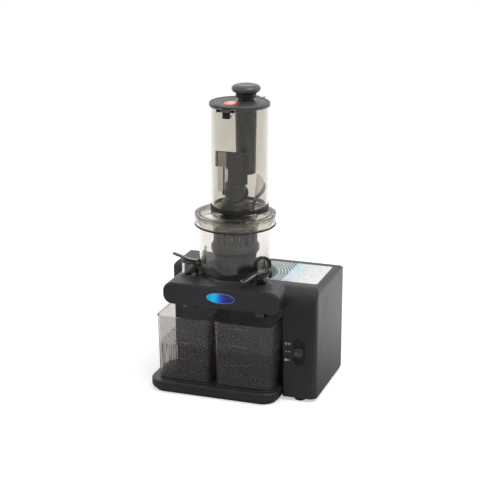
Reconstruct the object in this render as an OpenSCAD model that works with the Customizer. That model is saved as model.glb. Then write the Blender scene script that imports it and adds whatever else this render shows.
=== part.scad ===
/* [Housing] */
// Width of the motor housing
housing_w = 270; // [266:1:290]
// Depth of the rear part of the housing
housing_d = 95.5; // [93:0.5:104]
// Height of the flat top above the table
housing_h = 187; // [182:1:200]
// Wall of the moulded shells
wall = 3; // [2.4:0.1:3.4]
// Radius of the upright corners
corner_r = 12; // [10:1:16]
// Radius along the side edges of the top
edge_r = 10; // [6:0.5:10]
// Radius along the rear edge of the top
rear_r = 26; // [20:1:30]
// Radius of the rounded front shoulder
shoulder_r = 30; // [16:1:34]
// Width of the control column
column_w = 55.5; // [52:0.5:60]
// Reach of the control column in front of the rear part
column_d = 70; // [62:1:76]
// Height of the rubber feet
foot_h = 6; // [4:0.5:8]
// Radius of the rubber feet
foot_r = 9.5; // [7:0.5:11]

/* [Deck] */
// Width of the deck that carries the bowl
deck_w = 195; // [190:1:200]
// Reach of the deck in front of the rear part
deck_d = 100; // [96:0.5:104]
// Thickness of the deck
deck_t = 35.5; // [34:0.5:40]
// Corner radius of the deck's front view
deck_r = 15; // [8:0.5:16]
// Thickness of the front fascia
fascia_t = 2.5; // [1.5:0.5:4]
// Step between the fascia's outline and the deck's
fascia_step = 1.2; // [0.6:0.1:2]
// Width of the oval badge plate
badge_w = 48; // [36:1:56]
// Height of the oval badge plate
badge_h = 18; // [12:1:22]

/* [Bowl] */
// Outer radius of the juicing bowl
bowl_r = 58; // [56:0.5:60]
// Height of the bowl's rim above the deck
bowl_h = 97; // [92:1:104]
// Wall of the clear parts
clear_wall = 2.8; // [2:0.1:3.2]
// Distance from the bowl's axis to each outlet
outlet_reach = 74; // [73.5:0.5:78]
// Outer radius of the outlet towers
outlet_r = 13; // [12:0.5:14]
// Height of the juice tower
juice_tower_h = 21; // [17:1:26]
// Height of the pulp tower
pulp_tower_h = 14.5; // [13.5:0.5:18]
// Length of the outlet levers past the tower's axis
lever_reach = 38; // [30:1:44]

/* [Strainer and auger] */
// Outer radius of the strainer's basket
strainer_r = 35; // [33:0.5:37]
// Radius of the band around the basket
band_r = 39.5; // [38:0.5:42]
// Height of the strainer
strainer_h = 68; // [62:1:70]
// Radius over the auger's flights
flight_r = 29.8; // [26:0.2:30]
// Radius of the auger's core
core_r = 17; // [16.5:0.5:19]
// Radius of the feeding cutter's shoulder
cutter_r = 21; // [16:0.5:22]
// Height of the auger's nose above the deck
nose_h = 171; // [160:1:174]

/* [Hopper] */
// Outer radius of the feed chute
chute_r = 45.5; // [44:0.5:46.5]
// Height of the chute above the flange
chute_h = 170; // [160:1:180]
// Set back of the chute's axis from the bowl's
chute_offset = 21; // [19:0.5:21.5]
// Outer radius of the flange's skirt
skirt_r = 64.7; // [62.5:0.1:66]
// Height of the flange's skirt
skirt_h = 17; // [12:1:19]
// Thickness of the hopper lid
lid_t = 5; // [4:0.5:6]
// Radius of the hopper lid
lid_r = 48.6; // [48.2:0.1:50]
// Opening angle the seated pusher allows the lid
lid_open = 6; // [2:1:6]

/* [Pusher] */
// Radius of the stem under its collar
stem_r = 17.5; // [15:0.5:18]
// Radius of the stem's lower end
stem_tip_r = 15.3; // [13:0.1:15.5]
// Length of the stem below the lid's top
stem_l = 120; // [100:1:122]
// Radius of the knob
knob_r = 23.4; // [20:0.2:25]
// Height of the knob's top above the lid
knob_h = 24; // [22:0.5:28]

/* [Tray and containers] */
// Width of the tray
tray_w = 217; // [214:0.5:217.2]
// Depth of the tray
tray_d = 105.5; // [100:0.5:106.5]
// Height of the tray
tray_h = 20; // [14:1:22]
// Width of the juice container
container_w = 92; // [84:1:93]
// Width of the pulp container
pulp_container_w = 101; // [92:1:102]
// Depth of a container
container_d = 93; // [84:1:94]
// Height of a container
container_h = 108; // [96:1:112]
// Wall of a container
container_wall = 2; // [1.6:0.1:3]
// Draft of a container's sides from rim to base
container_draft = 2.5; // [1:0.5:4]
// Space between the containers
container_gap = 5; // [4:0.5:6]

/* [Switch] */
// Width of the switch bezel
bezel_w = 17.5; // [15:0.5:20]
// Height of the switch bezel
bezel_h = 42; // [40:1:48]
// Travel of the slider each way
switch_travel = 8; // [6:0.5:9]

/* [Drive] */
// Radius of the drive shaft
shaft_r = 6; // [5:0.1:6.4]
// Size of the hexagon across its flats
hex_af = 10; // [8:0.5:10]
// Module of the first pair of gears
module_1 = 1; // [0.9:0.01:1.02]
// Module of the second pair of gears
module_2 = 1.25; // [1.15:0.01:1.27]
// Teeth of each pinion
pinion_teeth = 12; // [11:1:13]
// Teeth of each wheel
wheel_teeth = 48; // [44:1:49]
// Radius of the motor's can
motor_r = 36; // [30:0.5:36]
// Length of the motor's can
motor_h = 96; // [80:1:104]

/* [Clearances] */
// Gap around pieces that are fixed in a seat
seat_gap = 0.1; // [0.05:0.05:0.2]
// Radial clearance of a running fit
run_gap = 0.05; // [0.02:0.01:0.1]
// Gap between pieces that pass each other
move_gap = 0.4; // [0.3:0.1:0.8]

/* [Hidden] */
$fn = 96;

// Places of the housing: x to the right, y to the back, z up from the table
housing_x1 = 136.5;
housing_x0 = housing_x1 - housing_w;
rear_y1 = 101.25;
rear_y0 = rear_y1 - housing_d;
column_x0 = housing_x1 - column_w;
column_y0 = rear_y0 - column_d;
deck_x0 = -109.5;
deck_x1 = deck_x0 + deck_w;
deck_y0 = rear_y0 - deck_d;
deck_z = housing_h - deck_t;
deck_back = rear_y0 + shoulder_r + 12;
roof_z = housing_h - wall;
small_r = 4;
body_color = [0.24, 0.245, 0.25];
dark_color = [0.1, 0.1, 0.105];
clear_color = [0.45, 0.43, 0.4, 0.45];
metal_color = [0.72, 0.73, 0.75];
eps = 0.01;

// Places of the bowl, its outlets and the chute
bowl_x = -18;
bowl_y = -4.75;
bowl_floor = 3;
floor_z = housing_h + 3.4;
floor_top = floor_z + bowl_floor;
flange_z = housing_h + bowl_h;
flange_t = 3;
chute_y = bowl_y + chute_offset;
chute_z = flange_z + flange_t;
rim_z = chute_z + chute_h;
lid_z = rim_z + lid_t;
collar_r = strainer_r + 2;
throat_r = 34;
juice_angle = 210.5;
pulp_angle = -38.4;
juice_lever_angle = 166;
pulp_lever_angle = 237;
juice_x = bowl_x + outlet_reach * cos(juice_angle);
juice_y = bowl_y + outlet_reach * sin(juice_angle);
pulp_x = bowl_x + outlet_reach * cos(pulp_angle);
pulp_y = bowl_y + outlet_reach * sin(pulp_angle);
outlet_wall = 2.2;
pipe_r = outlet_r - 1.5;
pivot_back = outlet_r + 3;
lever_t = 3;
pivot_r = 2.6;
pivot_up = pivot_r + move_gap;
lever_pin_r = 1.2;
ear_t = 2.4;
barrel_w = 7;

// Heights inside the gearbox
case_wall = 3;
case_z = deck_z + wall;
gear_z = case_z + case_wall;
gear_room = 20;
cover_z = gear_z + gear_room;
wheel_t = 6;
drive_gear_z = gear_z + 8.5;
drive_gear_t = 9;
pressure_angle = 25;
backlash = 0.16;
stage_1 = module_1 * (pinion_teeth + wheel_teeth) / 2;
stage_2 = module_2 * (pinion_teeth + wheel_teeth) / 2;
idler_angle = 60;
motor_angle = 39;
idler_x = bowl_x + stage_2 * cos(idler_angle);
idler_y = bowl_y + stage_2 * sin(idler_angle);
motor_x = idler_x + stage_1 * cos(motor_angle);
motor_y = idler_y + stage_1 * sin(motor_angle);
axle_r = 3;
bearing_h = 5;
bearing_r = shaft_r + 3;
boss_r = bearing_r + 2.4;
seal_r = shaft_r + 7;
wheel_z = gear_z + 1.5;
drive_room = module_2 * (wheel_teeth / 2 + 1) + 1.2;
idler_room = module_1 * (wheel_teeth / 2 + 1) + 1.2;
pinion_room = module_1 * (pinion_teeth / 2 + 1) + 1.2;
ear_r = 4.5;
ear_out = case_wall + 2;
ear_places = [
  [bowl_x + (drive_room + ear_out) * cos(200), bowl_y + (drive_room + ear_out) * sin(200)],
  [bowl_x + (drive_room + ear_out) * cos(300), bowl_y + (drive_room + ear_out) * sin(300)],
  [idler_x + (idler_room + ear_out) * cos(130), idler_y + (idler_room + ear_out) * sin(130)],
  [idler_x + (idler_room + ear_out) * cos(340), idler_y + (idler_room + ear_out) * sin(340)]
];
can_t = 3;
motor_z = case_z - motor_h;
rotor_r = motor_r - 14.5;
fan_z = motor_z - 15;
fan_t = 12;
hex_z = housing_h + 4;
hex_top = housing_h + 27;

// The switch, the feet and the screws
switch_x = 108.5;
switch_z = 83.6;
screw_r = 1.5;
screw_l = 14;
head_r = 3.2;
head_t = 2.2;
base_t = 3;
foot_places = [
  [housing_x1 - 28.5, column_y0 + 13], [housing_x1 - 18, rear_y1 - 17],
  [housing_x0 + 18, rear_y1 - 17], [housing_x0 + 18, rear_y0 + 17]
];
base_bosses = [
  [housing_x1 - 10, column_y0 + 32], [column_x0 + 9, column_y0 + 10],
  [housing_x1 - 8, rear_y1 - 34], [housing_x0 + 8, rear_y1 - 34],
  [-40, rear_y1 - 10], [-60, rear_y0 + 10]
];
boss_w = 4.2;
// Right end of the flat inside of the front and rear walls
flat_x1 = housing_x1 - corner_r - 0.2;
boss_top = 30;

// Tray and containers
tray_x1 = column_x0 - 0.5;
tray_x0 = tray_x1 - tray_w;
tray_y1 = rear_y0 - 1.5;
tray_y0 = tray_y1 - tray_d;
tray_r = 28;
tray_x = (tray_x0 + tray_x1) / 2;
container_y = rear_y0 - 4.5 - container_d / 2;
juice_box_x = tray_x - 51;
pulp_box_x = juice_box_x + container_w / 2 + container_gap + pulp_container_w / 2;
container_r = 13;

// Lid hinge and latch
hinge_y = chute_y + lid_r + 3.5;
hinge_r = 3.5;
hinge_pin_r = 1.5;
knuckle_w = 30;
hinge_w = 50;
skirt_drop = 5;
latch_x = bowl_x - 4;
latch_w = 13;
latch_y = chute_y - lid_r - 2.6;
latch_pin_r = 1;
pusher_x = bowl_x + 4;
pusher_y = chute_y + 20;
collar_t = 4.5;
hole_r = stem_r + 0.7;
label_r = 11.5;

// Printed panel on the top
panel_x0 = 22;
panel_x1 = housing_x1 - edge_r - 1;
panel_y0 = column_y0 + 37.5;
panel_y1 = rear_y1 - rear_r - 8;
panel_t = 0.6;

// Inlet and vent in the rear wall
inlet_x = 104;
inlet_z = 32;
inlet_w = 27;
inlet_h = 19;
vent_x = motor_x;
vent_z = 62;
vent_w = 64;
vent_h = 44;

// Control board
board_y0 = column_y0 + 20;
board_w = 46;
board_z0 = 62;
board_h = 66;
board_t = 1.6;
post_l = 6;

// Smaller sizes of the bowl set
rim_r = skirt_r - clear_wall - 0.5;
hub_r = 9;
hub_z = housing_h + 19;
passage_w = 12;
passage_h = 5;
plug_t = 2;
ear_half = barrel_w / 2 + 0.4 + ear_t;
strainer_z = floor_top + 1.6;
strainer_top = strainer_z + strainer_h;
strainer_in = strainer_r - 3.2;
band_z = strainer_z + 40;
band_h = 9;
auger_z = floor_top + move_gap;
cone_z = strainer_top - 2;
nose_z = housing_h + nose_h;
neck_r = cutter_r - 5;
socket_r = 9.9;
socket_top = hub_z + 16;
flank_steps = 4;
guide_angle = 63;

// Smaller sizes of the lid, the pusher and the switch
hinge_z = rim_z + 2;
latch_z = rim_z + 2.4;
latch_r = 2.4;
catch_z = rim_z - 11.5;
knob_z = lid_z + 12;
knob_top = lid_z + knob_h;
waist_z = knob_z + 5;
knob_neck = 12;
rim_out = 1.2;
bezel_t = 1.6;
bezel_rim = 0.9;
slide_w = 5;
slider_w = bezel_w - 2 * bezel_rim - 2 * move_gap;
slider_h = 13;
slider_out = 6;

// Rounded rectangle made of squares and circles, its corner at the origin
module rounded(w, d, r) {
  translate([r, 0]) square([w - 2 * r, d]);
  translate([0, r]) square([w, d - 2 * r]);
  for (x = [r, w - r], y = [r, d - r]) translate([x, y]) circle(r);
}

// Rectangle with only its upper corners rounded, each with its own radius
module arched(w, h, left, right) {
  square([w, h - max(left, right)]);
  translate([left, 0]) square([w - left - right, h]);
  square([left, h - left]);
  translate([w - right, 0]) square([right, h - right]);
  translate([left, h - left]) circle(left);
  translate([w - right, h - right]) circle(right);
}

// A view drawn in x and z, carried along y from y0 to y1
module along_y(y0, y1) {
  translate([0, y1, 0]) rotate([90, 0, 0]) linear_extrude(y1 - y0) children();
}

// A view drawn in y and z, carried along x from x0 to x1
module along_x(x0, x1) {
  translate([x0, 0, 0]) rotate([90, 0, 90]) linear_extrude(x1 - x0) children();
}

// Tube from z0 up to z1
module tube(outer, inner, z0, z1) {
  translate([0, 0, z0]) difference() {
    cylinder(h = z1 - z0, r = outer);
    translate([0, 0, -1]) cylinder(h = z1 - z0 + 2, r = inner);
  }
}

// Upright round bar from z0 up to z1
module bar(r, z0, z1) {
  translate([0, 0, z0]) cylinder(h = z1 - z0, r = r);
}

// Bar along x, centred on x = 0
module cross_bar(r, l) {
  rotate([0, 90, 0]) cylinder(h = l, r = r, center = true);
}

// Flat screw with its head below z0 and its shank going up
module screw(z0, l) {
  bar(head_r, z0 - head_t, z0);
  bar(screw_r - seat_gap, z0 - eps, z0 + l);
}

// Rear part of the housing, drawn in by i on every side but the bottom
module rear_form(i) {
  low = foot_h - (i > 0 ? 1 : 0);
  tall = housing_h - i - low;
  w = housing_w - 2 * i;
  intersection() {
    translate([housing_x0 + i, rear_y0 + i, low])
      linear_extrude(tall) rounded(w, housing_d - 2 * i, corner_r - i);
    translate([housing_x0 + i, 0, low])
      along_y(rear_y0 - 1, rear_y1 + 1) arched(w, tall, edge_r - i, edge_r - i);
    along_x(housing_x0 - 1, housing_x1 + 1) translate([rear_y0 + i, low])
      arched(housing_d - 2 * i, tall, shoulder_r - i, rear_r - i);
  }
}

// Control column with the top that runs back over the rear part
module column_form(i) {
  low = foot_h - (i > 0 ? 1 : 0);
  tall = housing_h - i - low;
  w = column_w - 2 * i;
  d = housing_d + column_d - 2 * i;
  intersection() {
    translate([column_x0 + i, column_y0 + i, low]) linear_extrude(tall) union() {
      rounded(w, d, corner_r - i);
      rounded(w - corner_r, d, small_r);
    }
    translate([column_x0 - housing_w, 0, low]) along_y(column_y0 - 1, rear_y1 + 1)
      arched(housing_w + column_w - i, tall, edge_r, edge_r - i);
    along_x(column_x0 - 1, housing_x1 + 1) translate([column_y0 + i, low])
      arched(d, tall, shoulder_r - i, rear_r - i);
  }
}

// Shoulder that joins the deck's end to the column
module bridge_form(i) {
  low = foot_h - (i > 0 ? 1 : 0);
  tall = housing_h - i - low;
  x0 = deck_x1 - deck_r - 3;
  intersection() {
    along_x(x0, column_x0 + wall + 1) translate([column_y0 + i, low])
      arched(housing_d + column_d - 2 * i, tall, shoulder_r - i, rear_r - i);
    translate([x0 - 1, column_y0, deck_z + i])
      cube([housing_w, rear_y0 - column_y0 + 6, deck_t]);
  }
}

// Deck that overhangs the container bay
module deck_form(i) {
  translate([deck_x0 + i, 0, deck_z + i]) along_y(deck_y0 + fascia_t + i, deck_back - i)
    rounded(deck_w - 2 * i, deck_t - 2 * i, deck_r - i);
}

// Outline of the opening under the deck
module under_opening(gap) {
  translate([deck_x0 + deck_r + gap, deck_y0 + fascia_t + 8 + gap])
    rounded(deck_w - 2 * deck_r - 2 * gap, deck_d - fascia_t - 9 - 2 * gap, small_r);
}

// Screw places on the cover under the deck
under_places = [
  for (x = [deck_x0 + deck_r + 5, deck_x1 - deck_r - 5], y = [deck_y0 + 16, rear_y0 - 7]) [x, y]
];

// Oval outline
module oval(w, h) {
  polygon([for (a = [0:5:355]) [w / 2 * cos(a), h / 2 * sin(a)]]);
}

// Slot outline with round ends, upright and centred
module slot(w, h) {
  translate([-w / 2, -h / 2]) rounded(w, h, w / 2 - eps);
}

module panel_outline(gap) {
  difference() {
    translate([panel_x0 + gap, panel_y0 + gap])
      rounded(panel_x1 - panel_x0 - 2 * gap, panel_y1 - panel_y0 - 2 * gap, small_r);
    translate([bowl_x, bowl_y]) circle(bowl_r + 9 + gap);
  }
}

module at_bowl() {
  translate([bowl_x, bowl_y, 0]) children();
}

module at_chute() {
  translate([bowl_x, chute_y, 0]) children();
}

module housing_shell() {
  color(body_color) difference() {
    union() {
      difference() {
        union() {
          rear_form(0);
          column_form(0);
          bridge_form(0);
          deck_form(0);
        }
        rear_form(wall);
        column_form(wall);
        bridge_form(wall);
        deck_form(wall);
      }
      for (p = under_places) translate([p[0], p[1], 0]) bar(boss_w, case_z + 2, roof_z + eps);
      for (p = ear_places) translate([p[0], p[1], 0]) bar(ear_r, cover_z + wall, roof_z + eps);
      for (p = base_bosses) translate([p[0], p[1], 0]) bar(boss_w, foot_h + base_t, boss_top);
      for (p = base_bosses) translate([p[0], p[1], 0]) boss_web(p);
      for (y = [board_y0 + 5, board_y0 + board_w - 5], z = [board_z0 + 5, board_z0 + board_h - 5])
        translate([housing_x1 - wall - post_l / 2 + eps / 2, y, z]) cross_bar(3.2, post_l + eps);
    }
    for (p = base_bosses) translate([p[0], p[1], 0]) bar(screw_r, foot_h, boss_top - 4);
    translate([0, 0, deck_z - 1]) linear_extrude(wall + 1) under_opening(0);
    for (p = under_places) translate([p[0], p[1], 0]) bar(screw_r, case_z, case_z + 16);
    for (p = ear_places) translate([p[0], p[1], 0]) bar(screw_r, cover_z, roof_z + 1.6);
    at_bowl() bar(seal_r, roof_z - 1, housing_h + 1);
    translate([juice_x, juice_y, 0]) bar(pipe_r, roof_z - 1, housing_h + 1);
    translate([pulp_x, pulp_y, 0]) bar(pipe_r, roof_z - 1, housing_h + 1);
    translate([0, 0, housing_h - panel_t]) linear_extrude(1) panel_outline(0);
    translate([switch_x, 0, switch_z]) along_y(column_y0 - 1, column_y0 + wall + 1)
      slot(bezel_w, bezel_h);
    translate([inlet_x, 0, inlet_z]) along_y(rear_y1 - wall - 1, rear_y1 + 1)
      square([inlet_w, inlet_h], center = true);
    translate([vent_x, 0, vent_z]) along_y(rear_y1 - wall - 1, rear_y1 + 1)
      square([vent_w, vent_h], center = true);
    side_arches();
  }
}

// Web that ties a screw boss to the nearest wall
module boss_web(p) {
  near_side = p[0] > 0 ? housing_x1 - wall / 2 - p[0] : p[0] - housing_x0 - wall / 2;
  to_rear = rear_y1 - wall / 2 - p[1];
  to_front = p[1] - (p[0] > column_x0 ? column_y0 : rear_y0) - wall / 2;
  short = min(near_side, to_rear, to_front);
  turn = short == near_side ? (p[0] > 0 ? 0 : 180) : (short == to_rear ? 90 : -90);
  rotate([0, 0, turn]) translate([boss_w - 1, -1, foot_h + base_t])
    cube([short - boss_w + 1, 2, boss_top - foot_h - base_t]);
}

// Shallow arches along the foot of the right wall
module side_arches() {
  for (y = [rear_y0 + 30, rear_y1 - corner_r - 2]) translate([0, y, foot_h])
    along_x(housing_x1 - wall - 1, housing_x1 + 1) circle(r = 3.2);
}

module deck_fascia() {
  color(dark_color) difference() {
    translate([deck_x0 + fascia_step, 0, deck_z + fascia_step])
      along_y(deck_y0, deck_y0 + fascia_t)
      rounded(deck_w - 2 * fascia_step, deck_t - 2 * fascia_step, deck_r - fascia_step);
    badge_space(0, deck_y0 + 0.8);
  }
}

module badge_space(gap, y1) {
  translate([deck_x0 + deck_w / 2, 0, deck_z + deck_t / 2 + 0.8]) along_y(deck_y0 - 1, y1)
    oval(badge_w - 2 * gap, badge_h - 2 * gap);
}

module badge_plate() {
  color([0.08, 0.3, 0.75]) difference() {
    badge_space(seat_gap, deck_y0 + 0.8);
    translate([deck_x0, deck_y0 - 2, deck_z]) cube([deck_w, 1.7, deck_t]);
  }
}

module top_panel() {
  color([0.75, 0.85, 0.85]) translate([0, 0, housing_h - panel_t])
    linear_extrude(panel_t) panel_outline(seat_gap);
}

module base_plate() {
  color(dark_color) difference() {
    translate([0, 0, foot_h]) linear_extrude(base_t) union() {
      translate([housing_x0 + wall + seat_gap, rear_y0 + wall + seat_gap])
        rounded(housing_w - 2 * wall - 2 * seat_gap, housing_d - 2 * wall - 2 * seat_gap,
                corner_r - wall);
      translate([column_x0 + wall + seat_gap, column_y0 + wall + seat_gap]) {
        rounded(column_w - 2 * wall - 2 * seat_gap,
                housing_d + column_d - 2 * wall - 2 * seat_gap, corner_r - wall);
        rounded(column_w - corner_r - 2 * wall,
                housing_d + column_d - 2 * wall - 2 * seat_gap, small_r);
      }
    }
    for (p = base_bosses) translate([p[0], p[1], 0]) {
      bar(screw_r, foot_h - 1, foot_h + base_t + 1);
      bar(head_r + seat_gap, foot_h - 1, foot_h + head_t);
    }
    for (k = [-4:4]) translate([motor_x + k * 7, motor_y, foot_h - 1])
      translate([-1.5, -22, 0]) cube([3, 44, base_t + 2]);
  }
}

module case_screws() {
  color(metal_color) {
    for (p = base_bosses) translate([p[0], p[1], 0]) screw(foot_h + head_t, screw_l);
    for (p = under_places) translate([p[0], p[1], 0]) screw(deck_z + head_t, screw_l);
  }
}

module feet() {
  color(dark_color) for (p = foot_places) translate([p[0], p[1], 0]) {
    bar(foot_r - 1.2, 0, 1.5);
    bar(foot_r, 1.5, foot_h);
  }
}

module deck_under_cover() {
  color(dark_color) difference() {
    union() {
      translate([0, 0, deck_z]) linear_extrude(wall) under_opening(seat_gap);
      for (p = under_places) translate([p[0], p[1], 0]) bar(head_r + 2.5, case_z, case_z + 2);
    }
    for (p = under_places) translate([p[0], p[1], 0]) {
      bar(screw_r, deck_z - 1, case_z + 3);
      bar(head_r + seat_gap, deck_z - 1, deck_z + head_t);
    }
    translate([juice_x, juice_y, 0]) bar(pipe_r, deck_z - 1, case_z + 1);
    translate([pulp_x, pulp_y, 0]) bar(pipe_r, deck_z - 1, case_z + 1);
  }
}

module dock_ring() {
  color(dark_color) at_bowl()
    tube(bowl_r - clear_wall - move_gap, bowl_r - clear_wall - 9, housing_h, housing_h + 3);
}

module shaft_seal() {
  color(dark_color) at_bowl() difference() {
    union() {
      bar(seal_r - seat_gap, roof_z, housing_h + 1);
      bar(seal_r + 2, housing_h, housing_h + 1.2);
    }
    bar(shaft_r + move_gap, roof_z - 1, housing_h + 2);
  }
}

module rear_vent() {
  color(dark_color) translate([vent_x, 0, vent_z]) difference() {
    union() {
      along_y(rear_y1 - wall, rear_y1 - 0.4)
        square([vent_w - 2 * seat_gap, vent_h - 2 * seat_gap], center = true);
      along_y(rear_y1 - wall - 1.2, rear_y1 - wall) square([vent_w + 5, vent_h + 5], center = true);
    }
    for (k = [-4:4]) translate([0, 0, k * vent_h / 10])
      along_y(rear_y1 - 8, rear_y1 + 1) square([vent_w - 12, vent_h / 20], center = true);
  }
}

module power_inlet() {
  color(dark_color) translate([inlet_x, 0, inlet_z]) {
    difference() {
      union() {
        along_y(rear_y1 - 18, rear_y1 - 0.4)
          square([inlet_w - 2 * seat_gap, inlet_h - 2 * seat_gap], center = true);
        along_y(rear_y1 - wall - 1.5, rear_y1 - wall) intersection() {
          square([inlet_w + 5, inlet_h + 5], center = true);
          translate([flat_x1 - inlet_x - 100, -50]) square(100);
        }
      }
      along_y(rear_y1 - 14, rear_y1 + 1) square([inlet_w - 6, inlet_h - 6], center = true);
    }
    for (s = [-1, 1]) translate([s * inlet_w / 5, 0, 0]) along_y(rear_y1 - 15, rear_y1 - 4)
      circle(1.2);
  }
}

module switch_bezel() {
  color(dark_color) translate([switch_x, 0, switch_z]) difference() {
    union() {
      along_y(column_y0, column_y0 + wall) slot(bezel_w - 2 * seat_gap, bezel_h - 2 * seat_gap);
      along_y(column_y0 + wall, column_y0 + wall + bezel_t) intersection() {
        slot(bezel_w + 4, bezel_h + 4);
        translate([flat_x1 - switch_x - 100, -50]) square(100);
      }
    }
    along_y(column_y0 - 1, column_y0 + wall + 0.2)
      slot(bezel_w - 2 * bezel_rim, bezel_h - 2 * bezel_rim);
    along_y(column_y0 - 1, column_y0 + wall + bezel_t + 1)
      square([slide_w + 2 * move_gap, 2 * switch_travel + slide_w + 2 * move_gap], center = true);
  }
}

module switch_slider() {
  color(dark_color) translate([switch_x, 0, switch_z]) difference() {
    union() {
      along_y(column_y0 - slider_out, column_y0 + wall - 0.2)
        translate([-slider_w / 2, -slider_h / 2]) rounded(slider_w, slider_h, 4);
      along_y(column_y0 + wall - 1, column_y0 + wall + bezel_t + 8)
        square(slide_w, center = true);
    }
    for (k = [-1:1]) along_y(column_y0 - slider_out - 1, column_y0 - slider_out + 0.8)
      translate([0, k * 3.4]) square([slider_w - 4, 1.2], center = true);
  }
}

module switch_module() {
  color(dark_color) translate([switch_x, 0, switch_z]) difference() {
    along_y(column_y0 + wall + bezel_t, column_y0 + wall + bezel_t + 16)
      square([20, bezel_h - 6], center = true);
    along_y(column_y0 + wall, column_y0 + wall + bezel_t + 9)
      square([slide_w + 2 * move_gap, 2 * switch_travel + slide_w + 2 * move_gap], center = true);
  }
}

module control_board() {
  x1 = housing_x1 - wall - post_l;
  color([0.1, 0.35, 0.2]) {
    translate([x1 - board_t, board_y0, board_z0]) cube([board_t, board_w, board_h]);
    translate([x1 - board_t - 11, board_y0 + 16, board_z0 + 8]) cube([12, 16, 22]);
    translate([x1 - board_t - 7, board_y0 + 10, board_z0 + 40]) cube([8, 24, 10]);
  }
}

module at_motor() {
  translate([motor_x, motor_y, 0]) children();
}

module motor_can() {
  color(metal_color) at_motor() difference() {
    union() {
      difference() {
        bar(motor_r, motor_z, case_z);
        bar(motor_r - can_t, motor_z + can_t, case_z - can_t);
      }
      bar(axle_r + 4, motor_z, motor_z + can_t + 4);
      bar(axle_r + 4, case_z - can_t - 4, case_z);
    }
    bar(axle_r + run_gap, motor_z - 1, case_z + 1);
    for (k = [0:5]) rotate([0, 0, k * 60])
      translate([motor_r - can_t - 2, -6, motor_z + can_t + 2]) cube([can_t + 4, 12, 8]);
  }
}

module motor_stator() {
  color([0.55, 0.35, 0.2]) at_motor() difference() {
    tube(motor_r - can_t - seat_gap, rotor_r + 0.5, motor_z + 18, case_z - 18);
    for (k = [0:5]) rotate([0, 0, k * 60 + 30])
      translate([rotor_r - 1, -4, motor_z]) cube([7, 8, motor_h]);
  }
}

module motor_rotor() {
  color(metal_color) at_motor() difference() {
    tube(rotor_r, axle_r + seat_gap, motor_z + 16, case_z - 16);
    for (k = [0:11]) rotate([0, 0, k * 30]) translate([rotor_r - 4, -1, motor_z])
      cube([6, 2, motor_h]);
  }
}

module motor_shaft() {
  color(metal_color) at_motor() bar(axle_r, fan_z - 1, gear_z + 8.5);
}

// Tooth flanks follow the involute of the base circle; angles are in degrees
function involute(a) = tan(a) * 180 / PI - a;
function base_radius(m, z) = m * z / 2 * cos(pressure_angle);
function root_radius(m, z) = m * (z / 2 - 1.25);
function flank_start(m, z) = max(base_radius(m, z), root_radius(m, z));
function half_tooth(m, z, r) = 90 / z - backlash / (m * z) * 180 / PI
  + involute(pressure_angle) - involute(acos(min(1, base_radius(m, z) / r)));
function flank(m, z, a, side) = [
  for (j = [0:flank_steps]) let (
    step = side < 0 ? j : flank_steps - j,
    r0 = flank_start(m, z),
    r = r0 + (m * (z / 2 + 1) - r0) * step / flank_steps,
    t = a + side * half_tooth(m, z, r)
  ) [r * cos(t), r * sin(t)]
];
function foot_point(m, z, a, side) = base_radius(m, z) > root_radius(m, z) ? [
  let (r = root_radius(m, z), t = a + side * half_tooth(m, z, base_radius(m, z)))
    [r * cos(t), r * sin(t)]
] : [];
function gear_points(m, z) = [
  for (k = [0:z - 1], p = concat(
    foot_point(m, z, 360 * k / z, -1), flank(m, z, 360 * k / z, -1),
    flank(m, z, 360 * k / z, 1), foot_point(m, z, 360 * k / z, 1)
  )) p
];

module spur(m, z, turn, z0, z1) {
  translate([0, 0, z0]) rotate([0, 0, turn]) linear_extrude(z1 - z0) polygon(gear_points(m, z));
}

module motor_pinion() {
  color(metal_color) at_motor() difference() {
    spur(module_1, pinion_teeth, motor_angle + 180, gear_z + 1, gear_z + 8);
    bar(axle_r + seat_gap, gear_z, gear_z + 9);
  }
}

module cooling_fan() {
  color(dark_color) at_motor() difference() {
    union() {
      bar(9, fan_z, fan_z + fan_t);
      for (k = [0:8]) rotate([0, 0, k * 40]) translate([19, 0, fan_z + fan_t / 2])
        rotate([35, 0, 0]) cube([24, 1.6, fan_t - 1], center = true);
    }
    bar(axle_r + seat_gap, fan_z - 1, fan_z + fan_t + 1);
  }
}

// Outline of the gear room, larger by t
module case_outline(t) {
  translate([bowl_x, bowl_y]) circle(drive_room + t);
  translate([idler_x, idler_y]) circle(idler_room + t);
  translate([motor_x, motor_y]) circle(pinion_room + t);
}

module gearbox_case() {
  color(dark_color) difference() {
    union() {
      difference() {
        union() {
          translate([0, 0, case_z]) linear_extrude(cover_z - case_z) case_outline(case_wall);
          for (p = ear_places) translate([p[0], p[1], 0]) bar(ear_r, case_z, cover_z);
        }
        translate([0, 0, gear_z]) linear_extrude(gear_room + 1) case_outline(0);
      }
      at_bowl() bar(boss_r, gear_z - 1, gear_z + bearing_h);
      translate([idler_x, idler_y, 0]) bar(axle_r + 3, gear_z - 1, wheel_z - 0.3);
    }
    at_bowl() bar(bearing_r + seat_gap, gear_z, gear_z + bearing_h + 1);
    translate([idler_x, idler_y, 0]) bar(axle_r + seat_gap, gear_z - 2, wheel_z);
    at_motor() bar(axle_r + 1, case_z - 1, gear_z + 1);
    for (p = ear_places) translate([p[0], p[1], 0]) {
      bar(screw_r, case_z - 1, cover_z + 1);
      bar(head_r + seat_gap, case_z - 1, case_z + head_t);
    }
  }
}

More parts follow.
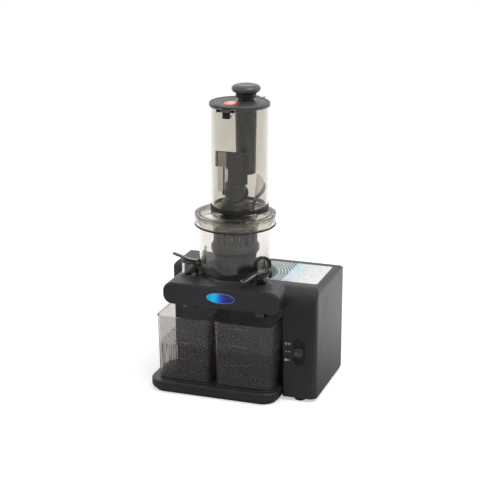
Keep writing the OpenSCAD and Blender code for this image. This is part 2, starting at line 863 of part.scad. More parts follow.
module gearbox_cover() {
  color(dark_color) difference() {
    union() {
      translate([0, 0, cover_z]) linear_extrude(wall) case_outline(case_wall);
      for (p = ear_places) translate([p[0], p[1], 0]) bar(ear_r, cover_z, cover_z + wall);
      at_bowl() bar(boss_r, cover_z, roof_z - 0.5);
    }
    at_bowl() bar(bearing_r + seat_gap, cover_z - 1, cover_z + bearing_h);
    at_bowl() bar(shaft_r + 1, cover_z - 1, roof_z);
    translate([idler_x, idler_y, 0]) bar(axle_r + seat_gap, cover_z - 1, cover_z + 2);
    for (p = ear_places) translate([p[0], p[1], 0]) bar(screw_r, cover_z - 1, roof_z);
  }
}

module gearbox_screws() {
  color(metal_color) for (p = ear_places) translate([p[0], p[1], 0])
    screw(case_z + head_t, roof_z + 1.2 - case_z - head_t);
}

module idler_axle() {
  color(metal_color) translate([idler_x, idler_y, 0]) bar(axle_r, gear_z - 2, cover_z + 2);
}

module idler_gear() {
  color([0.9, 0.9, 0.85]) translate([idler_x, idler_y, 0]) difference() {
    union() {
      spur(module_1, wheel_teeth, motor_angle - 180 / wheel_teeth, wheel_z, wheel_z + wheel_t);
      spur(module_2, pinion_teeth, idler_angle + 180, wheel_z + wheel_t - 1,
           drive_gear_z + drive_gear_t + 1);
    }
    bar(axle_r + run_gap, wheel_z - 1, cover_z);
  }
}

module drive_gear() {
  color([0.9, 0.9, 0.85]) at_bowl() difference() {
    union() {
      spur(module_2, wheel_teeth, idler_angle - 180 / wheel_teeth, drive_gear_z,
           drive_gear_z + drive_gear_t);
      bar(bearing_r, gear_z + bearing_h + 0.3, cover_z - 0.3);
    }
    bar(shaft_r + seat_gap, gear_z, cover_z);
  }
}

module drive_shaft() {
  color(metal_color) at_bowl() {
    bar(shaft_r, gear_z + 0.3, hex_z);
    translate([0, 0, hex_z - 1]) cylinder(h = hex_top - hex_z + 1, r = hex_af / 2 / cos(30), $fn = 6);
  }
}

module lower_bearing() {
  color(metal_color) at_bowl()
    tube(bearing_r, shaft_r + run_gap, gear_z, gear_z + bearing_h);
}

module upper_bearing() {
  color(metal_color) at_bowl()
    tube(bearing_r, shaft_r + run_gap, cover_z, cover_z + bearing_h);
}

// Pipe that leads an outlet down through the deck
module downpipe() {
  color(dark_color) difference() {
    union() {
      bar(pipe_r - seat_gap, tray_h + container_h + 5, housing_h);
      bar(pipe_r + 1.5, roof_z - 2, roof_z - 0.1);
    }
    bar(pipe_r - 2, tray_h, housing_h + 1);
  }
}

module juice_downpipe() {
  translate([juice_x, juice_y, 0]) downpipe();
}

module pulp_downpipe() {
  translate([pulp_x, pulp_y, 0]) downpipe();
}

module tray() {
  color(dark_color) difference() {
    translate([tray_x0, tray_y0, 0]) linear_extrude(tray_h) rounded(tray_w, tray_d, tray_r);
    translate([tray_x0 + wall, tray_y0 + wall, -1]) linear_extrude(tray_h - wall + 1)
      rounded(tray_w - 2 * wall, tray_d - 2 * wall, tray_r - wall);
  }
}

// Box of width box_w with drafted sides, drawn in by i, from z0 to z1 above the tray
module drafted(box_w, i, z0, z1) {
  hull() for (z = [z0, z1 - eps]) {
    in = rim_out + container_draft * (1 - z / container_h) + i;
    w = box_w - 2 * in;
    d = container_d - 2 * in;
    translate([-w / 2, -d / 2, z]) linear_extrude(eps) rounded(w, d, container_r - i, $fn = 32);
  }
}

module container(box_w) {
  difference() {
    union() {
      drafted(box_w, 0, 0, container_h);
      translate([-box_w / 2, -container_d / 2, container_h - 2.5])
        linear_extrude(2.5) rounded(box_w, container_d, container_r + rim_out);
    }
    drafted(box_w, container_wall, container_wall, container_h + 1);
  }
}

module juice_container() {
  color(clear_color) translate([juice_box_x, container_y, tray_h]) container(container_w);
}

module pulp_container() {
  color(clear_color) translate([pulp_box_x, container_y, tray_h]) container(pulp_container_w);
}

module bowl() {
  color(clear_color) at_bowl() difference() {
    union() {
      tube(bowl_r, bowl_r - clear_wall, housing_h, flange_z);
      tube(rim_r, bowl_r - clear_wall, flange_z - 5, flange_z);
      bar(bowl_r - clear_wall + 0.5, floor_z, floor_top);
      bar(hub_r + 2.4, floor_z, hub_z);
    }
    bar(hub_r, floor_z - 1, hub_z + 1);
    for (a = [juice_angle, pulp_angle]) rotate([0, 0, a])
      translate([bowl_r - clear_wall - 1, -passage_w / 2, floor_top])
      cube([clear_wall + 3, passage_w, passage_h]);
  }
}

module bowl_packing() {
  color(dark_color) at_bowl() tube(strainer_r - 0.5, strainer_r - 5, floor_top, strainer_z);
}

// Outlet tower in the bowl's frame, at angle a, its lever pointing at angle b
module outlet(a, tower_h, b) {
  rim = housing_h + tower_h;
  color(clear_color) at_bowl() difference() {
    union() {
      rotate([0, 0, a]) translate([outlet_reach, 0, 0]) bar(outlet_r, housing_h, rim);
      rotate([0, 0, a]) translate([bowl_r - 8, -passage_w / 2 - 2, housing_h])
        cube([outlet_reach - bowl_r + 8, passage_w + 4, floor_top + passage_h + 1.5 - housing_h]);
      at_outlet(a, b) {
        translate([-pivot_back - pivot_r, -ear_half, rim - 7])
          cube([pivot_back + pivot_r, 2 * ear_half, 7]);
        for (s = [-1, 1]) translate([-pivot_back, s * (ear_half - ear_t / 2), rim + pivot_up])
          rotate([90, 0, 0]) {
            cylinder(h = ear_t, r = pivot_r, center = true);
            translate([-pivot_r, -pivot_up - 1, -ear_t / 2]) cube([2 * pivot_r, pivot_up + 1, ear_t]);
          }
      }
    }
    bar(bowl_r + seat_gap, housing_h - 1, flange_z);
    rotate([0, 0, a]) translate([outlet_reach, 0, 0])
      bar(outlet_r - outlet_wall, housing_h - 1, rim + 1);
    rotate([0, 0, a]) translate([bowl_r - 1, -passage_w / 2, floor_top])
      cube([outlet_reach - bowl_r + 1, passage_w, passage_h]);
    at_outlet(a, b) translate([-pivot_back, 0, rim + pivot_up]) rotate([90, 0, 0])
      cylinder(h = 3 * barrel_w, r = lever_pin_r + seat_gap, center = true);
  }
}

// Frame of an outlet, its x axis along the lever
module at_outlet(a, b) {
  translate([outlet_reach * cos(a), outlet_reach * sin(a), 0]) rotate([0, 0, b]) children();
}

// Lever whose end lies rise above its root
module lever(a, tower_h, b, rise) {
  rim = housing_h + tower_h;
  run = lever_reach - outlet_r;
  tilt = atan(rise / run);
  color(dark_color) at_bowl() at_outlet(a, b) difference() {
    union() {
      translate([-pivot_back, 0, rim + pivot_up]) rotate([90, 0, 0])
        cylinder(h = barrel_w, r = pivot_r, center = true);
      translate([0.8 - pivot_back, 0.5 - barrel_w / 2, rim + plug_t])
        cube([pivot_back + outlet_r + 1, barrel_w - 1, lever_t]);
      translate([outlet_r - 0.4, 0, rim + plug_t + lever_t / 2]) rotate([0, -tilt, 0])
        translate([0, -barrel_w / 2, -lever_t / 2])
        cube([(run + 0.4) / cos(tilt), barrel_w, lever_t]);
    }
    translate([-pivot_back, 0, rim + pivot_up]) rotate([90, 0, 0])
      cylinder(h = 2 * barrel_w, r = lever_pin_r + run_gap, center = true);
  }
}

module plug(a, tower_h, b) {
  rim = housing_h + tower_h;
  color(dark_color) at_bowl() at_outlet(a, b) {
    bar(outlet_r - 0.5, rim, rim + plug_t);
    bar(outlet_r - outlet_wall - 0.8, rim - 1.5, rim + 1);
  }
}

module juice_outlet() {
  outlet(juice_angle, juice_tower_h, juice_lever_angle);
}

module juice_lever() {
  lever(juice_angle, juice_tower_h, juice_lever_angle, 10);
}

module juice_plug() {
  plug(juice_angle, juice_tower_h, juice_lever_angle);
}

module pulp_outlet() {
  outlet(pulp_angle, pulp_tower_h, pulp_lever_angle);
}

module pulp_lever() {
  lever(pulp_angle, pulp_tower_h, pulp_lever_angle, -5);
}

module pulp_plug() {
  plug(pulp_angle, pulp_tower_h, pulp_lever_angle);
}

module lever_pins() {
  color(metal_color) at_bowl() {
    for (p = [[juice_angle, juice_tower_h, juice_lever_angle],
              [pulp_angle, pulp_tower_h, pulp_lever_angle]])
      at_outlet(p[0], p[2]) translate([-pivot_back, 0, housing_h + p[1] + pivot_up])
      rotate([90, 0, 0]) cylinder(h = 2 * ear_half, r = lever_pin_r, center = true);
  }
}

module strainer_frame() {
  color(dark_color) at_bowl() difference() {
    union() {
      translate([0, 0, strainer_z]) cylinder(h = 6, r1 = strainer_r - 3, r2 = strainer_r);
      bar(strainer_r, strainer_z + 6, strainer_z + 10);
      bar(strainer_r, strainer_top - 10, strainer_top);
      difference() {
        bar(strainer_r, strainer_z + 9, strainer_top - 9);
        for (k = [0:11]) rotate([0, 0, k * 30]) translate([strainer_r - 4, -6, strainer_z + 10])
          cube([8, 12, strainer_h - 20]);
      }
      translate([0, 0, band_z - 4]) cylinder(h = 4, r1 = strainer_r - 0.5, r2 = band_r);
      bar(band_r, band_z, band_z + band_h);
      translate([0, 0, band_z + band_h]) cylinder(h = 3, r1 = band_r, r2 = strainer_r - 0.5);
    }
    bar(strainer_in, strainer_z - 1, strainer_top + 1);
    bar(strainer_in + 1.2, strainer_z + 10, strainer_top - 10);
  }
}

module strainer_screen() {
  color(metal_color) at_bowl()
    tube(strainer_in + 1.1, strainer_in + 0.4, strainer_z + 10, strainer_top - 10);
}

module auger() {
  color(dark_color) at_bowl() difference() {
    union() {
      bar(core_r + 9, auger_z, auger_z + 5);
      bar(core_r, auger_z, cone_z + 1);
      translate([0, 0, cone_z]) cylinder(h = 6, r1 = core_r, r2 = flight_r - 1);
      translate([0, 0, cone_z + 6]) cylinder(h = 16, r1 = flight_r - 1, r2 = neck_r);
      bar(neck_r, cone_z + 21, nose_z - 24);
      translate([0, 0, nose_z - 24]) cylinder(h = 6, r1 = neck_r, r2 = 10.5);
      bar(10.5, nose_z - 18, nose_z - 2);
      translate([0, 0, nose_z - 2]) cylinder(h = 2, r1 = 10.5, r2 = 8);
    }
    bar(hub_r + 3, auger_z - 1, hub_z + 0.6);
    bar(socket_r + seat_gap, hub_z, socket_top);
  }
}

// Two helical ridges between two radii, turning once per pitch
module ridges(inner, outer, z0, z1, pitch, width) {
  translate([0, 0, z0]) linear_extrude(z1 - z0, twist = -360 * (z1 - z0) / pitch,
                                       slices = ceil(26 * (z1 - z0) / pitch), $fn = 12)
    difference() {
      for (a = [0, 180]) rotate(a) translate([0, -width / 2]) intersection() {
        square([outer + 1, width]);
        translate([0, width / 2]) circle(outer, $fn = 48);
      }
      circle(inner / cos(180 / 48), $fn = 48);
    }
}

module auger_screw() {
  color(dark_color) at_bowl() {
    ridges(core_r + seat_gap, flight_r, auger_z + 6, cone_z - 0.5, 46, 6);
    ridges(neck_r + seat_gap, cutter_r, cone_z + 24, nose_z - 25, 60, 7);
  }
}

module auger_socket() {
  color(metal_color) at_bowl() difference() {
    bar(socket_r, hub_z + 0.6, socket_top);
    translate([0, 0, hub_z]) cylinder(h = socket_top - hub_z - 2,
                                      r = (hex_af / 2 + 0.2) / cos(30), $fn = 6);
  }
}

module hopper() {
  color(clear_color) {
    difference() {
      union() {
        at_bowl() bar(skirt_r, chute_z - skirt_h, chute_z);
        at_bowl() bar(skirt_r + 0.9, chute_z - 5, chute_z - 1.5);
        at_chute() bar(chute_r, flange_z, rim_z);
        translate([latch_x - latch_w / 2, chute_y - chute_r - 3.3, catch_z]) cube([latch_w, 6, 3]);
        for (s = [-1, 1]) translate([bowl_x + s * (hinge_w + knuckle_w + 2 * move_gap) / 4, 0, 0])
          hinge_block((hinge_w - knuckle_w) / 2 - move_gap);
      }
      at_bowl() bar(skirt_r - clear_wall, chute_z - skirt_h - 1, flange_z);
      at_chute() bar(chute_r - clear_wall, chute_z, rim_z + 1);
      intersection() {
        at_bowl() bar(throat_r, flange_z - 1, chute_z + 1);
        at_chute() bar(chute_r - clear_wall, flange_z - 1, chute_z + 1);
      }
      translate([bowl_x, hinge_y, hinge_z]) cross_bar(hinge_pin_r + seat_gap, hinge_w + 2);
    }
    at_bowl() tube(collar_r, throat_r, strainer_top + move_gap, flange_z + 1);
  }
}

// Hinge block of the chute, l wide along x
module hinge_block(l) {
  along_x(-l / 2, l / 2) {
    translate([hinge_y, hinge_z]) circle(hinge_r);
    translate([chute_y + chute_r - 14, rim_z - 9])
      square([hinge_y + hinge_r - chute_y - chute_r + 14, 9 - move_gap]);
    translate([hinge_y - hinge_r, rim_z - 9]) square([2 * hinge_r, hinge_z - rim_z + 9]);
  }
}

module hopper_gaskets() {
  color(dark_color) {
    at_bowl() tube(skirt_r, skirt_r - clear_wall, chute_z - skirt_h - 1.6, chute_z - skirt_h);
    at_chute() tube(chute_r + 2, chute_r + seat_gap, chute_z, chute_z + 3.5);
  }
}

module feed_baffle() {
  color(dark_color) intersection() {
    at_chute() bar(chute_r - clear_wall - seat_gap, chute_z + 76, chute_z + 100);
    translate([bowl_x - chute_r, chute_y - 33.5, chute_z]) cube([2 * chute_r, 2.5, chute_h]);
  }
}

// Half space below the ramp's upper face, t deep
module ramp(t) {
  at_chute() rotate([0, 0, guide_angle]) translate([18.4, 0, chute_z + 14])
    rotate([0, -59, 0]) translate([-60, -60, -t]) cube([160, 120, t]);
}

module feed_guide() {
  color(dark_color) intersection() {
    at_chute() bar(chute_r - clear_wall - seat_gap, chute_z, chute_z + 52);
    at_chute() rotate([0, 0, guide_angle]) translate([0, -22, chute_z]) cube([60, 44, 60]);
    union() {
      difference() {
        ramp(2.5);
        at_bowl() bar(throat_r + 1, chute_z - 1, chute_z + chute_h);
      }
      intersection() {
        at_bowl() tube(throat_r + 4, throat_r + 1, chute_z, chute_z + 50);
        ramp(60);
      }
    }
  }
}

module lid_pin() {
  color(metal_color) translate([bowl_x, hinge_y, hinge_z]) cross_bar(hinge_pin_r, hinge_w);
}

module hopper_lid() {
  color(dark_color) difference() {
    union() {
      at_chute() bar(lid_r, rim_z, lid_z);
      intersection() {
        at_chute() tube(lid_r, chute_r + 1, rim_z - skirt_drop, rim_z + 1);
        translate([bowl_x - lid_r, chute_y - lid_r - 1, rim_z - skirt_drop - 1])
          cube([2 * lid_r, lid_r + 24, skirt_drop + 2]);
      }
      translate([bowl_x - 19, chute_y - lid_r - 5, rim_z]) cube([30, 16, lid_t]);
      translate([bowl_x - knuckle_w / 2, chute_y + lid_r - 8, rim_z])
        cube([knuckle_w, hinge_y - chute_y - lid_r + 8, lid_t]);
      translate([bowl_x, hinge_y, hinge_z]) cross_bar(hinge_r, knuckle_w);
    }
    at_chute() tube(lid_r - 4, lid_r - 6, lid_z - 0.8, lid_z + 1);
    translate([pusher_x, pusher_y, 0]) bar(hole_r, rim_z - 1, lid_z + 1);
    translate([latch_x - latch_w / 2 - move_gap, latch_y - 6, rim_z - skirt_drop - 1])
      cube([latch_w + 2 * move_gap, 6 + latch_r + move_gap, skirt_drop + lid_t + 2]);
    translate([latch_x, latch_y, latch_z])
      cross_bar(latch_pin_r + run_gap, latch_w + 2 * move_gap + 5);
    translate([bowl_x, hinge_y, hinge_z]) cross_bar(hinge_pin_r + run_gap, knuckle_w + 2);
  }
}

module lid_label() {
  color([0.85, 0.15, 0.1]) translate([bowl_x - 8, chute_y - 16, lid_z]) linear_extrude(0.6)
    slot(2 * label_r, 3 * label_r);
}

module lid_latch() {
  color(dark_color) {
    translate([latch_x, latch_y, latch_z]) {
      cross_bar(latch_r, latch_w);
      cross_bar(latch_pin_r, latch_w + 2 * move_gap + 4);
    }
    translate([latch_x - latch_w / 2, latch_y - 1, catch_z - 1])
      cube([latch_w, 3, latch_z - catch_z + 1]);
    translate([latch_x - latch_w / 2, latch_y - 3, catch_z - 1]) cube([latch_w, 4, 2.6]);
  }
}

module at_pusher() {
  translate([pusher_x, pusher_y, 0]) children();
}

module pusher_stem() {
  color(dark_color) at_pusher() difference() {
    union() {
      translate([0, 0, lid_z - stem_l]) cylinder(h = stem_l, r1 = stem_tip_r, r2 = stem_r);
      bar(hole_r + 1.5, lid_z, lid_z + collar_t);
      bar(knob_neck, lid_z, knob_z + 4);
    }
    translate([0, 0, lid_z - stem_l + 3])
      cylinder(h = stem_l + 2, r1 = stem_tip_r - 3, r2 = knob_neck - 2.5);
  }
}

// Half outline of the knob: flat under side, full waist, shallow crown
function knob_outline() = concat(
  [[0, knob_z], [knob_r - 4, knob_z]],
  [for (a = [-60:20:60]) [knob_r - 4 + 4 * cos(a), waist_z + 4 * sin(a) / sin(60) * 1.1]],
  [for (a = [15:15:90]) [(knob_r - 2) * cos(a), waist_z + 4.4 + (knob_top - waist_z - 4.4) * sin(a)]]
);

module pusher_knob() {
  color([0.35, 0.35, 0.36]) at_pusher() difference() {
    rotate_extrude() polygon(knob_outline());
    bar(knob_neck + seat_gap, knob_z - 1, knob_z + 4);
  }
}

housing_shell();
deck_fascia();
badge_plate();
top_panel();
base_plate();
case_screws();
feet();
deck_under_cover();
dock_ring();
shaft_seal();
rear_vent();
power_inlet();
switch_bezel();
switch_slider();
switch_module();
control_board();
motor_can();
motor_stator();
motor_rotor();
motor_shaft();
motor_pinion();
cooling_fan();
gearbox_case();
gearbox_cover();
gearbox_screws();
idler_axle();
idler_gear();
drive_gear();
drive_shaft();
lower_bearing();
upper_bearing();
juice_downpipe();
pulp_downpipe();
tray();
juice_container();
pulp_container();
bowl();
bowl_packing();
juice_outlet();
juice_lever();
juice_plug();
pulp_outlet();
pulp_lever();
pulp_plug();
lever_pins();
strainer_frame();
strainer_screen();
auger();
auger_screw();
auger_socket();
hopper();
hopper_gaskets();
feed_baffle();
feed_guide();
hopper_lid();
lid_pin();
lid_label();
lid_latch();
pusher_stem();
pusher_knob();
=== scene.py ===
import math
import bpy
import numpy as np
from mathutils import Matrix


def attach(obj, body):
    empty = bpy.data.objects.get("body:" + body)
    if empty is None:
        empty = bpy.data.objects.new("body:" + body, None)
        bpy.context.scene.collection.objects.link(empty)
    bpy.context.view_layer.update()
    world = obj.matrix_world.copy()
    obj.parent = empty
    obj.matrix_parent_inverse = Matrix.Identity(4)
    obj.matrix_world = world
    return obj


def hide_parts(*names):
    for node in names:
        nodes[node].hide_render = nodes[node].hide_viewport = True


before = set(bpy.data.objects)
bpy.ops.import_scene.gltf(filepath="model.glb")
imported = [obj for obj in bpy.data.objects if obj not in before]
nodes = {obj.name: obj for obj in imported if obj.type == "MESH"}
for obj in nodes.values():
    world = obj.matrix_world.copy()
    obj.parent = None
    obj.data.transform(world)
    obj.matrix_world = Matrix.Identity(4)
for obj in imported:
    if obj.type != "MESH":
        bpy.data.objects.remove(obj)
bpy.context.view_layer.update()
print("frame loaded with", len(nodes), "nodes")

# All sizes below are in millimetres and are turned into metres when a mesh is made. Depths are
# counted from the middle of the deck; depthShift brings them to the frame's own origin.
depthShift = -6.75
bowlAxis = (-18.0, 2.0)
chuteAxis = (-18.0, 23.0)
pusherAxis = (-14.0, 43.0)
juiceAxis = (-81.761, -35.558)
pulpAxis = (39.993, -43.965)
deckTop = 187.0
boxMiddleY = -38.5
deckFrontY = -85.0
hingeY, hingeZ = 75.1, 459.0


# A line whose corners (a, b, r) are swapped for arcs of radius r that touch both sides;
# long straight runs get an extra point just inside each end, which keeps the shading even.
def roundedLine(corners, closed=True, steps=5, near=0.5):
    pts = [np.array(c[:2], float) for c in corners]
    out = []
    for k, c in enumerate(corners):
        p, r = pts[k], (c[2] if len(c) > 2 else 0.0)
        if r <= 0 or (not closed and k in (0, len(pts) - 1)):
            out.append(p[None])
            continue
        a, b = pts[k - 1] - p, pts[(k + 1) % len(pts)] - p
        la, lb = np.hypot(*a), np.hypot(*b)
        a, b = a / la, b / lb
        half = 0.5 * math.acos(float(np.clip(a @ b, -0.9999, 0.9999)))
        reach = min(r / math.tan(half), 0.48 * la, 0.48 * lb)
        r = reach * math.tan(half)
        mid = p + (a + b) / np.hypot(*(a + b)) * r / math.sin(half)
        s, e = p + a * reach - mid, p + b * reach - mid
        t0 = math.atan2(s[1], s[0])
        turn = (math.atan2(e[1], e[0]) - t0 + math.pi) % (2 * math.pi) - math.pi
        t = t0 + turn * np.linspace(0, 1, steps + 1)
        out.append(mid + r * np.stack([np.cos(t), np.sin(t)], 1))
    line = np.concatenate(out)
    nxt = np.roll(line, -1, 0) if closed else np.concatenate([line[1:], line[-1:]])
    run = np.hypot(*(nxt - line).T)
    rows = []
    for p, q, d in zip(line, nxt, run):
        rows.append(p)
        if d > 4 * near:
            rows += [p + (q - p) * near / d, q - (q - p) * near / d]
    return np.array(rows)


# One between low and high, falling straight to nothing at both ends.
def band(z, low, high, lowRun, highRun):
    return np.clip((z - low) / lowRun, 0, 1) * np.clip((high - z) / highRun, 0, 1)


# Angles of one full turn in even steps; the last is left out, as it is the first again.
def fullTurn(count):
    return np.linspace(0, 2 * math.pi, count, endpoint=False)


# Round outline: no base shape, the normals of a circle, so an offset is a radius.
def ringOutline(count=96):
    t = fullTurn(count)
    n = np.stack([np.cos(t), np.sin(t)], 1)
    return np.zeros_like(n), n


# Ellipse cos t, sin t scaled by its half sizes, with the outward normal of each point.
def ovalOutline(halfW, halfH, count=96):
    t = fullTurn(count)
    p = np.stack([halfW * np.cos(t), halfH * np.sin(t)], 1)
    n = np.stack([np.cos(t) / halfW, np.sin(t) / halfH], 1)
    return p, n / np.hypot(n[:, 0], n[:, 1])[:, None]


# Rectangle with quarter circle corners, walked anticlockwise at even steps of its length.
def boxOutline(w, d, r, count=None, perCorner=10):
    hw, hd = w / 2 - r, d / 2 - r
    t = np.linspace(0, math.pi / 2, perCorner + 1)
    p, n = [], []
    for k, (cx, cy) in enumerate(((hw, hd), (-hw, hd), (-hw, -hd), (hw, -hd))):
        a = t + k * math.pi / 2
        nn = np.stack([np.cos(a), np.sin(a)], 1)
        p.append(np.array([cx, cy]) + r * nn)
        n.append(nn)
    p, n = np.concatenate(p), np.concatenate(n)
    if count is None:
        q = np.roll(p, -1, 0)
        run = np.hypot(*(q - p).T)
        keep = []
        for i in range(len(p)):
            keep.append((p[i], n[i]))
            if run[i] > 6:
                cuts = [0.5 / run[i]] + list(np.linspace(0, 1, 6)[1:-1]) + [1 - 0.5 / run[i]]
                keep += [(p[i] + (q[i] - p[i]) * c, n[i]) for c in cuts]
        return np.array([k[0] for k in keep]), np.array([k[1] for k in keep])
    q, m = np.concatenate([p, p[:1]]), np.concatenate([n, n[:1]])
    s = np.concatenate([[0], np.cumsum(np.hypot(*(q[1:] - q[:-1]).T))])
    at = np.linspace(0, s[-1], count, endpoint=False)
    p = np.stack([np.interp(at, s, q[:, 0]), np.interp(at, s, q[:, 1])], 1)
    n = np.stack([np.interp(at, s, m[:, 0]), np.interp(at, s, m[:, 1])], 1)
    return p, n / np.hypot(n[:, 0], n[:, 1])[:, None]


# Joins a grid of points (rows along the profile, columns around) with quads; an open end
# can be closed by a fan of triangles to the middle of its row.
def patch(grid, wrapRows=False, capStart=False, capEnd=False, wrapCols=True):
    rows, cols = grid.shape[:2]
    i = np.arange(rows if wrapRows else rows - 1)
    j = np.arange(cols if wrapCols else cols - 1)
    i, j = np.meshgrid(i, j, indexing="ij")
    i2, j2 = (i + 1) % rows, (j + 1) % cols
    quads = np.stack([i * cols + j, i * cols + j2, i2 * cols + j2, i2 * cols + j], -1).reshape(-1, 4)
    points = grid.reshape(-1, 3)
    tris = np.zeros((0, 3), int)
    ring = np.arange(cols)
    after = np.roll(ring, -1)
    for want, row, back in ((capStart, 0, True), (capEnd, rows - 1, False)):
        if want:
            mid = np.full(cols, len(points))
            points = np.concatenate([points, grid[row].mean(0)[None]])
            a, b = row * cols + ring, row * cols + after
            tri = np.stack([mid, b, a] if back else [mid, a, b], 1)
            tris = np.concatenate([tris, tri])
    return points, quads, tris


# An outline carried along a profile of (offset, height): each point is the outline's point
# moved out along its own normal by the offset. extra adds to the offset, row by column.
def sweep(outline, profile, closed=False, centre=(0, 0), caps=(False, False), extra=None):
    xy, n = outline
    off = profile[:, :1] + (0 if extra is None else extra)
    x = centre[0] + xy[None, :, 0] + off * n[None, :, 0]
    y = centre[1] + xy[None, :, 1] + off * n[None, :, 1]
    z = np.broadcast_to(profile[:, 1:2], x.shape)
    return patch(np.stack([x, y, z], -1), closed, caps[0], caps[1])


# Profile of (radius, height) turned about an upright axis.
def turned(corners, centre, closed=True, caps=(False, False), count=96, steps=5):
    return sweep(ringOutline(count), roundedLine(corners, closed, steps), closed, centre, caps)


# Moves a patch into another frame: columns are the images of x, y and z.
def placed(p, xAxis, yAxis, zAxis, origin=(0, 0, 0)):
    m = np.array([xAxis, yAxis, zAxis], float)
    return p[0] @ m + np.array(origin, float), p[1], p[2]


# Turned about its upright axis by an angle in degrees, then moved onto another one.
def swung(p, angle, axis):
    c, s = math.cos(math.radians(angle)), math.sin(math.radians(angle))
    return placed(p, (c, s, 0), (-s, c, 0), (0, 0, 1), (axis[0], axis[1], 0))


# Flat outline facing the front: x stays, height comes from y, depth grows towards -y.
def facingFront(p, origin=(0, 0, 0)):
    return placed(p, (1, 0, 0), (0, 0, 1), (0, -1, 0), origin)


# Round bar along x, its profile given as (radius, place along x).
def alongX(p, origin=(0, 0, 0)):
    return placed(p, (0, 1, 0), (0, 0, 1), (1, 0, 0), origin)


# Block with rounded upright edges and eased top and bottom edges.
def block(w, d, r, z0, z1, ease=0.5, centre=(0, 0), under=None):
    under = ease if under is None else under
    line = roundedLine([(-1.2 * under - 0.2, z0), (0, z0, under), (0, z1, ease),
                        (-1.2 * ease - 0.2, z1)], False, 4, 0.4)
    r = max(r, 1.3 * max(ease, under) + 0.3)
    return sweep(boxOutline(w, d, min(r, 0.49 * w, 0.49 * d)), line, False, centre, (True, True))


def addPiece(name, patches, finish, body, stands=(), angle=34):
    points, faces, start = [], [], 0
    for p, quads, tris in patches:
        points.append(p)
        faces += (quads + start).tolist() + (tris + start).tolist()
        start += len(p)
    mesh = bpy.data.meshes.new(name)
    spots = (np.concatenate(points) + np.array([0.0, depthShift, 0.0])) * 0.001
    mesh.from_pydata(spots.tolist(), [], faces)
    mesh.shade_smooth()
    mesh.set_sharp_from_angle(angle=math.radians(angle))
    piece = bpy.data.objects.new(name, mesh)
    bpy.context.scene.collection.objects.link(piece)
    mesh.materials.append(finish)
    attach(piece, body)
    if stands:
        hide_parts(*stands)
    return piece


def nodeGroup(name, ins, outs):
    group = bpy.data.node_groups.new(name, "ShaderNodeTree")
    for label, kind, value in ins:
        s = group.interface.new_socket(label, in_out="INPUT", socket_type="NodeSocket" + kind)
        if value is not None:
            s.default_value = value
    for label, kind in outs:
        group.interface.new_socket(label, in_out="OUTPUT", socket_type="NodeSocket" + kind)
    return group, group.nodes.new("NodeGroupInput"), group.nodes.new("NodeGroupOutput")


# Sets a node's inputs by name or number: a socket is linked, anything else is its value.
def fill(tree, node, values):
    for key, value in values.items():
        if isinstance(value, bpy.types.NodeSocket):
            tree.links.new(value, node.inputs[key])
        else:
            node.inputs[key].default_value = value
    return node


def add(tree, kind, values=None, **settings):
    node = tree.nodes.new("ShaderNode" + kind)
    for key, value in settings.items():
        setattr(node, key, value)
    return fill(tree, node, values or {})


def spread(tree, source, low, high, toLow=0.0, toHigh=1.0):
    return add(tree, "MapRange", {"Value": source, "From Min": low, "From Max": high, "To Min": toLow,
                                  "To Max": toHigh}, interpolation_type="SMOOTHSTEP").outputs["Result"]


def blendColor(tree, factor, first, second):
    return add(tree, "Mix", {"Factor": factor, 6: first, 7: second}, data_type="RGBA").outputs[2]


def math2(tree, kind, a, b):
    return add(tree, "Math", {0: a, 1: b}, operation=kind).outputs[0]


# Ends a group: its two tones mixed by mask, and shine mapped between its two levels.
def endGroup(g, i, o, mask, shine, height):
    rough = add(g, "MapRange", {"Value": shine, "To Min": i.outputs["Shine Low"],
                                "To Max": i.outputs["Shine High"]})
    fill(g, o, {"Color": blendColor(g, mask, i.outputs["Deep"], i.outputs["Pale"]),
                "Roughness": rough.outputs["Result"], "Height": height})
    return g


# Moulded surface: spark-eroded grain as height, a slow mottle between two tones and
# between two levels of shine.
def makeMouldGrain():
    g, i, o = nodeGroup("mouldGrain", [
        ("Vector", "Vector", None), ("Grain", "Float", 2200.0), ("Mottle", "Float", 18.0),
        ("Deep", "Color", (0.03, 0.03, 0.03, 1)), ("Pale", "Color", (0.05, 0.05, 0.05, 1)),
        ("Shine Low", "Float", 0.4), ("Shine High", "Float", 0.55)],
        [("Color", "Color"), ("Roughness", "Float"), ("Height", "Float")])
    grain = {"Vector": i.outputs["Vector"], "Scale": i.outputs["Grain"]}
    fine = add(g, "TexNoise", {"Detail": 2.0, "Roughness": 0.6, **grain})
    cells = add(g, "TexVoronoi", grain, feature="SMOOTH_F1")
    slow = add(g, "TexNoise", {"Detail": 4.0, "Roughness": 0.55, "Vector": i.outputs["Vector"],
                               "Scale": i.outputs["Mottle"]})
    tone = spread(g, slow.outputs["Fac"], 0.32, 0.68)
    speck = spread(g, fine.outputs["Fac"], 0.35, 0.7)
    mask = math2(g, "ADD", math2(g, "MULTIPLY", tone, 0.7), math2(g, "MULTIPLY", speck, 0.3))
    height = math2(g, "ADD", math2(g, "MULTIPLY", fine.outputs["Fac"], 0.5),
                   math2(g, "MULTIPLY", cells.outputs["Distance"], 0.5))
    return endGroup(g, i, o, mask, tone, height)


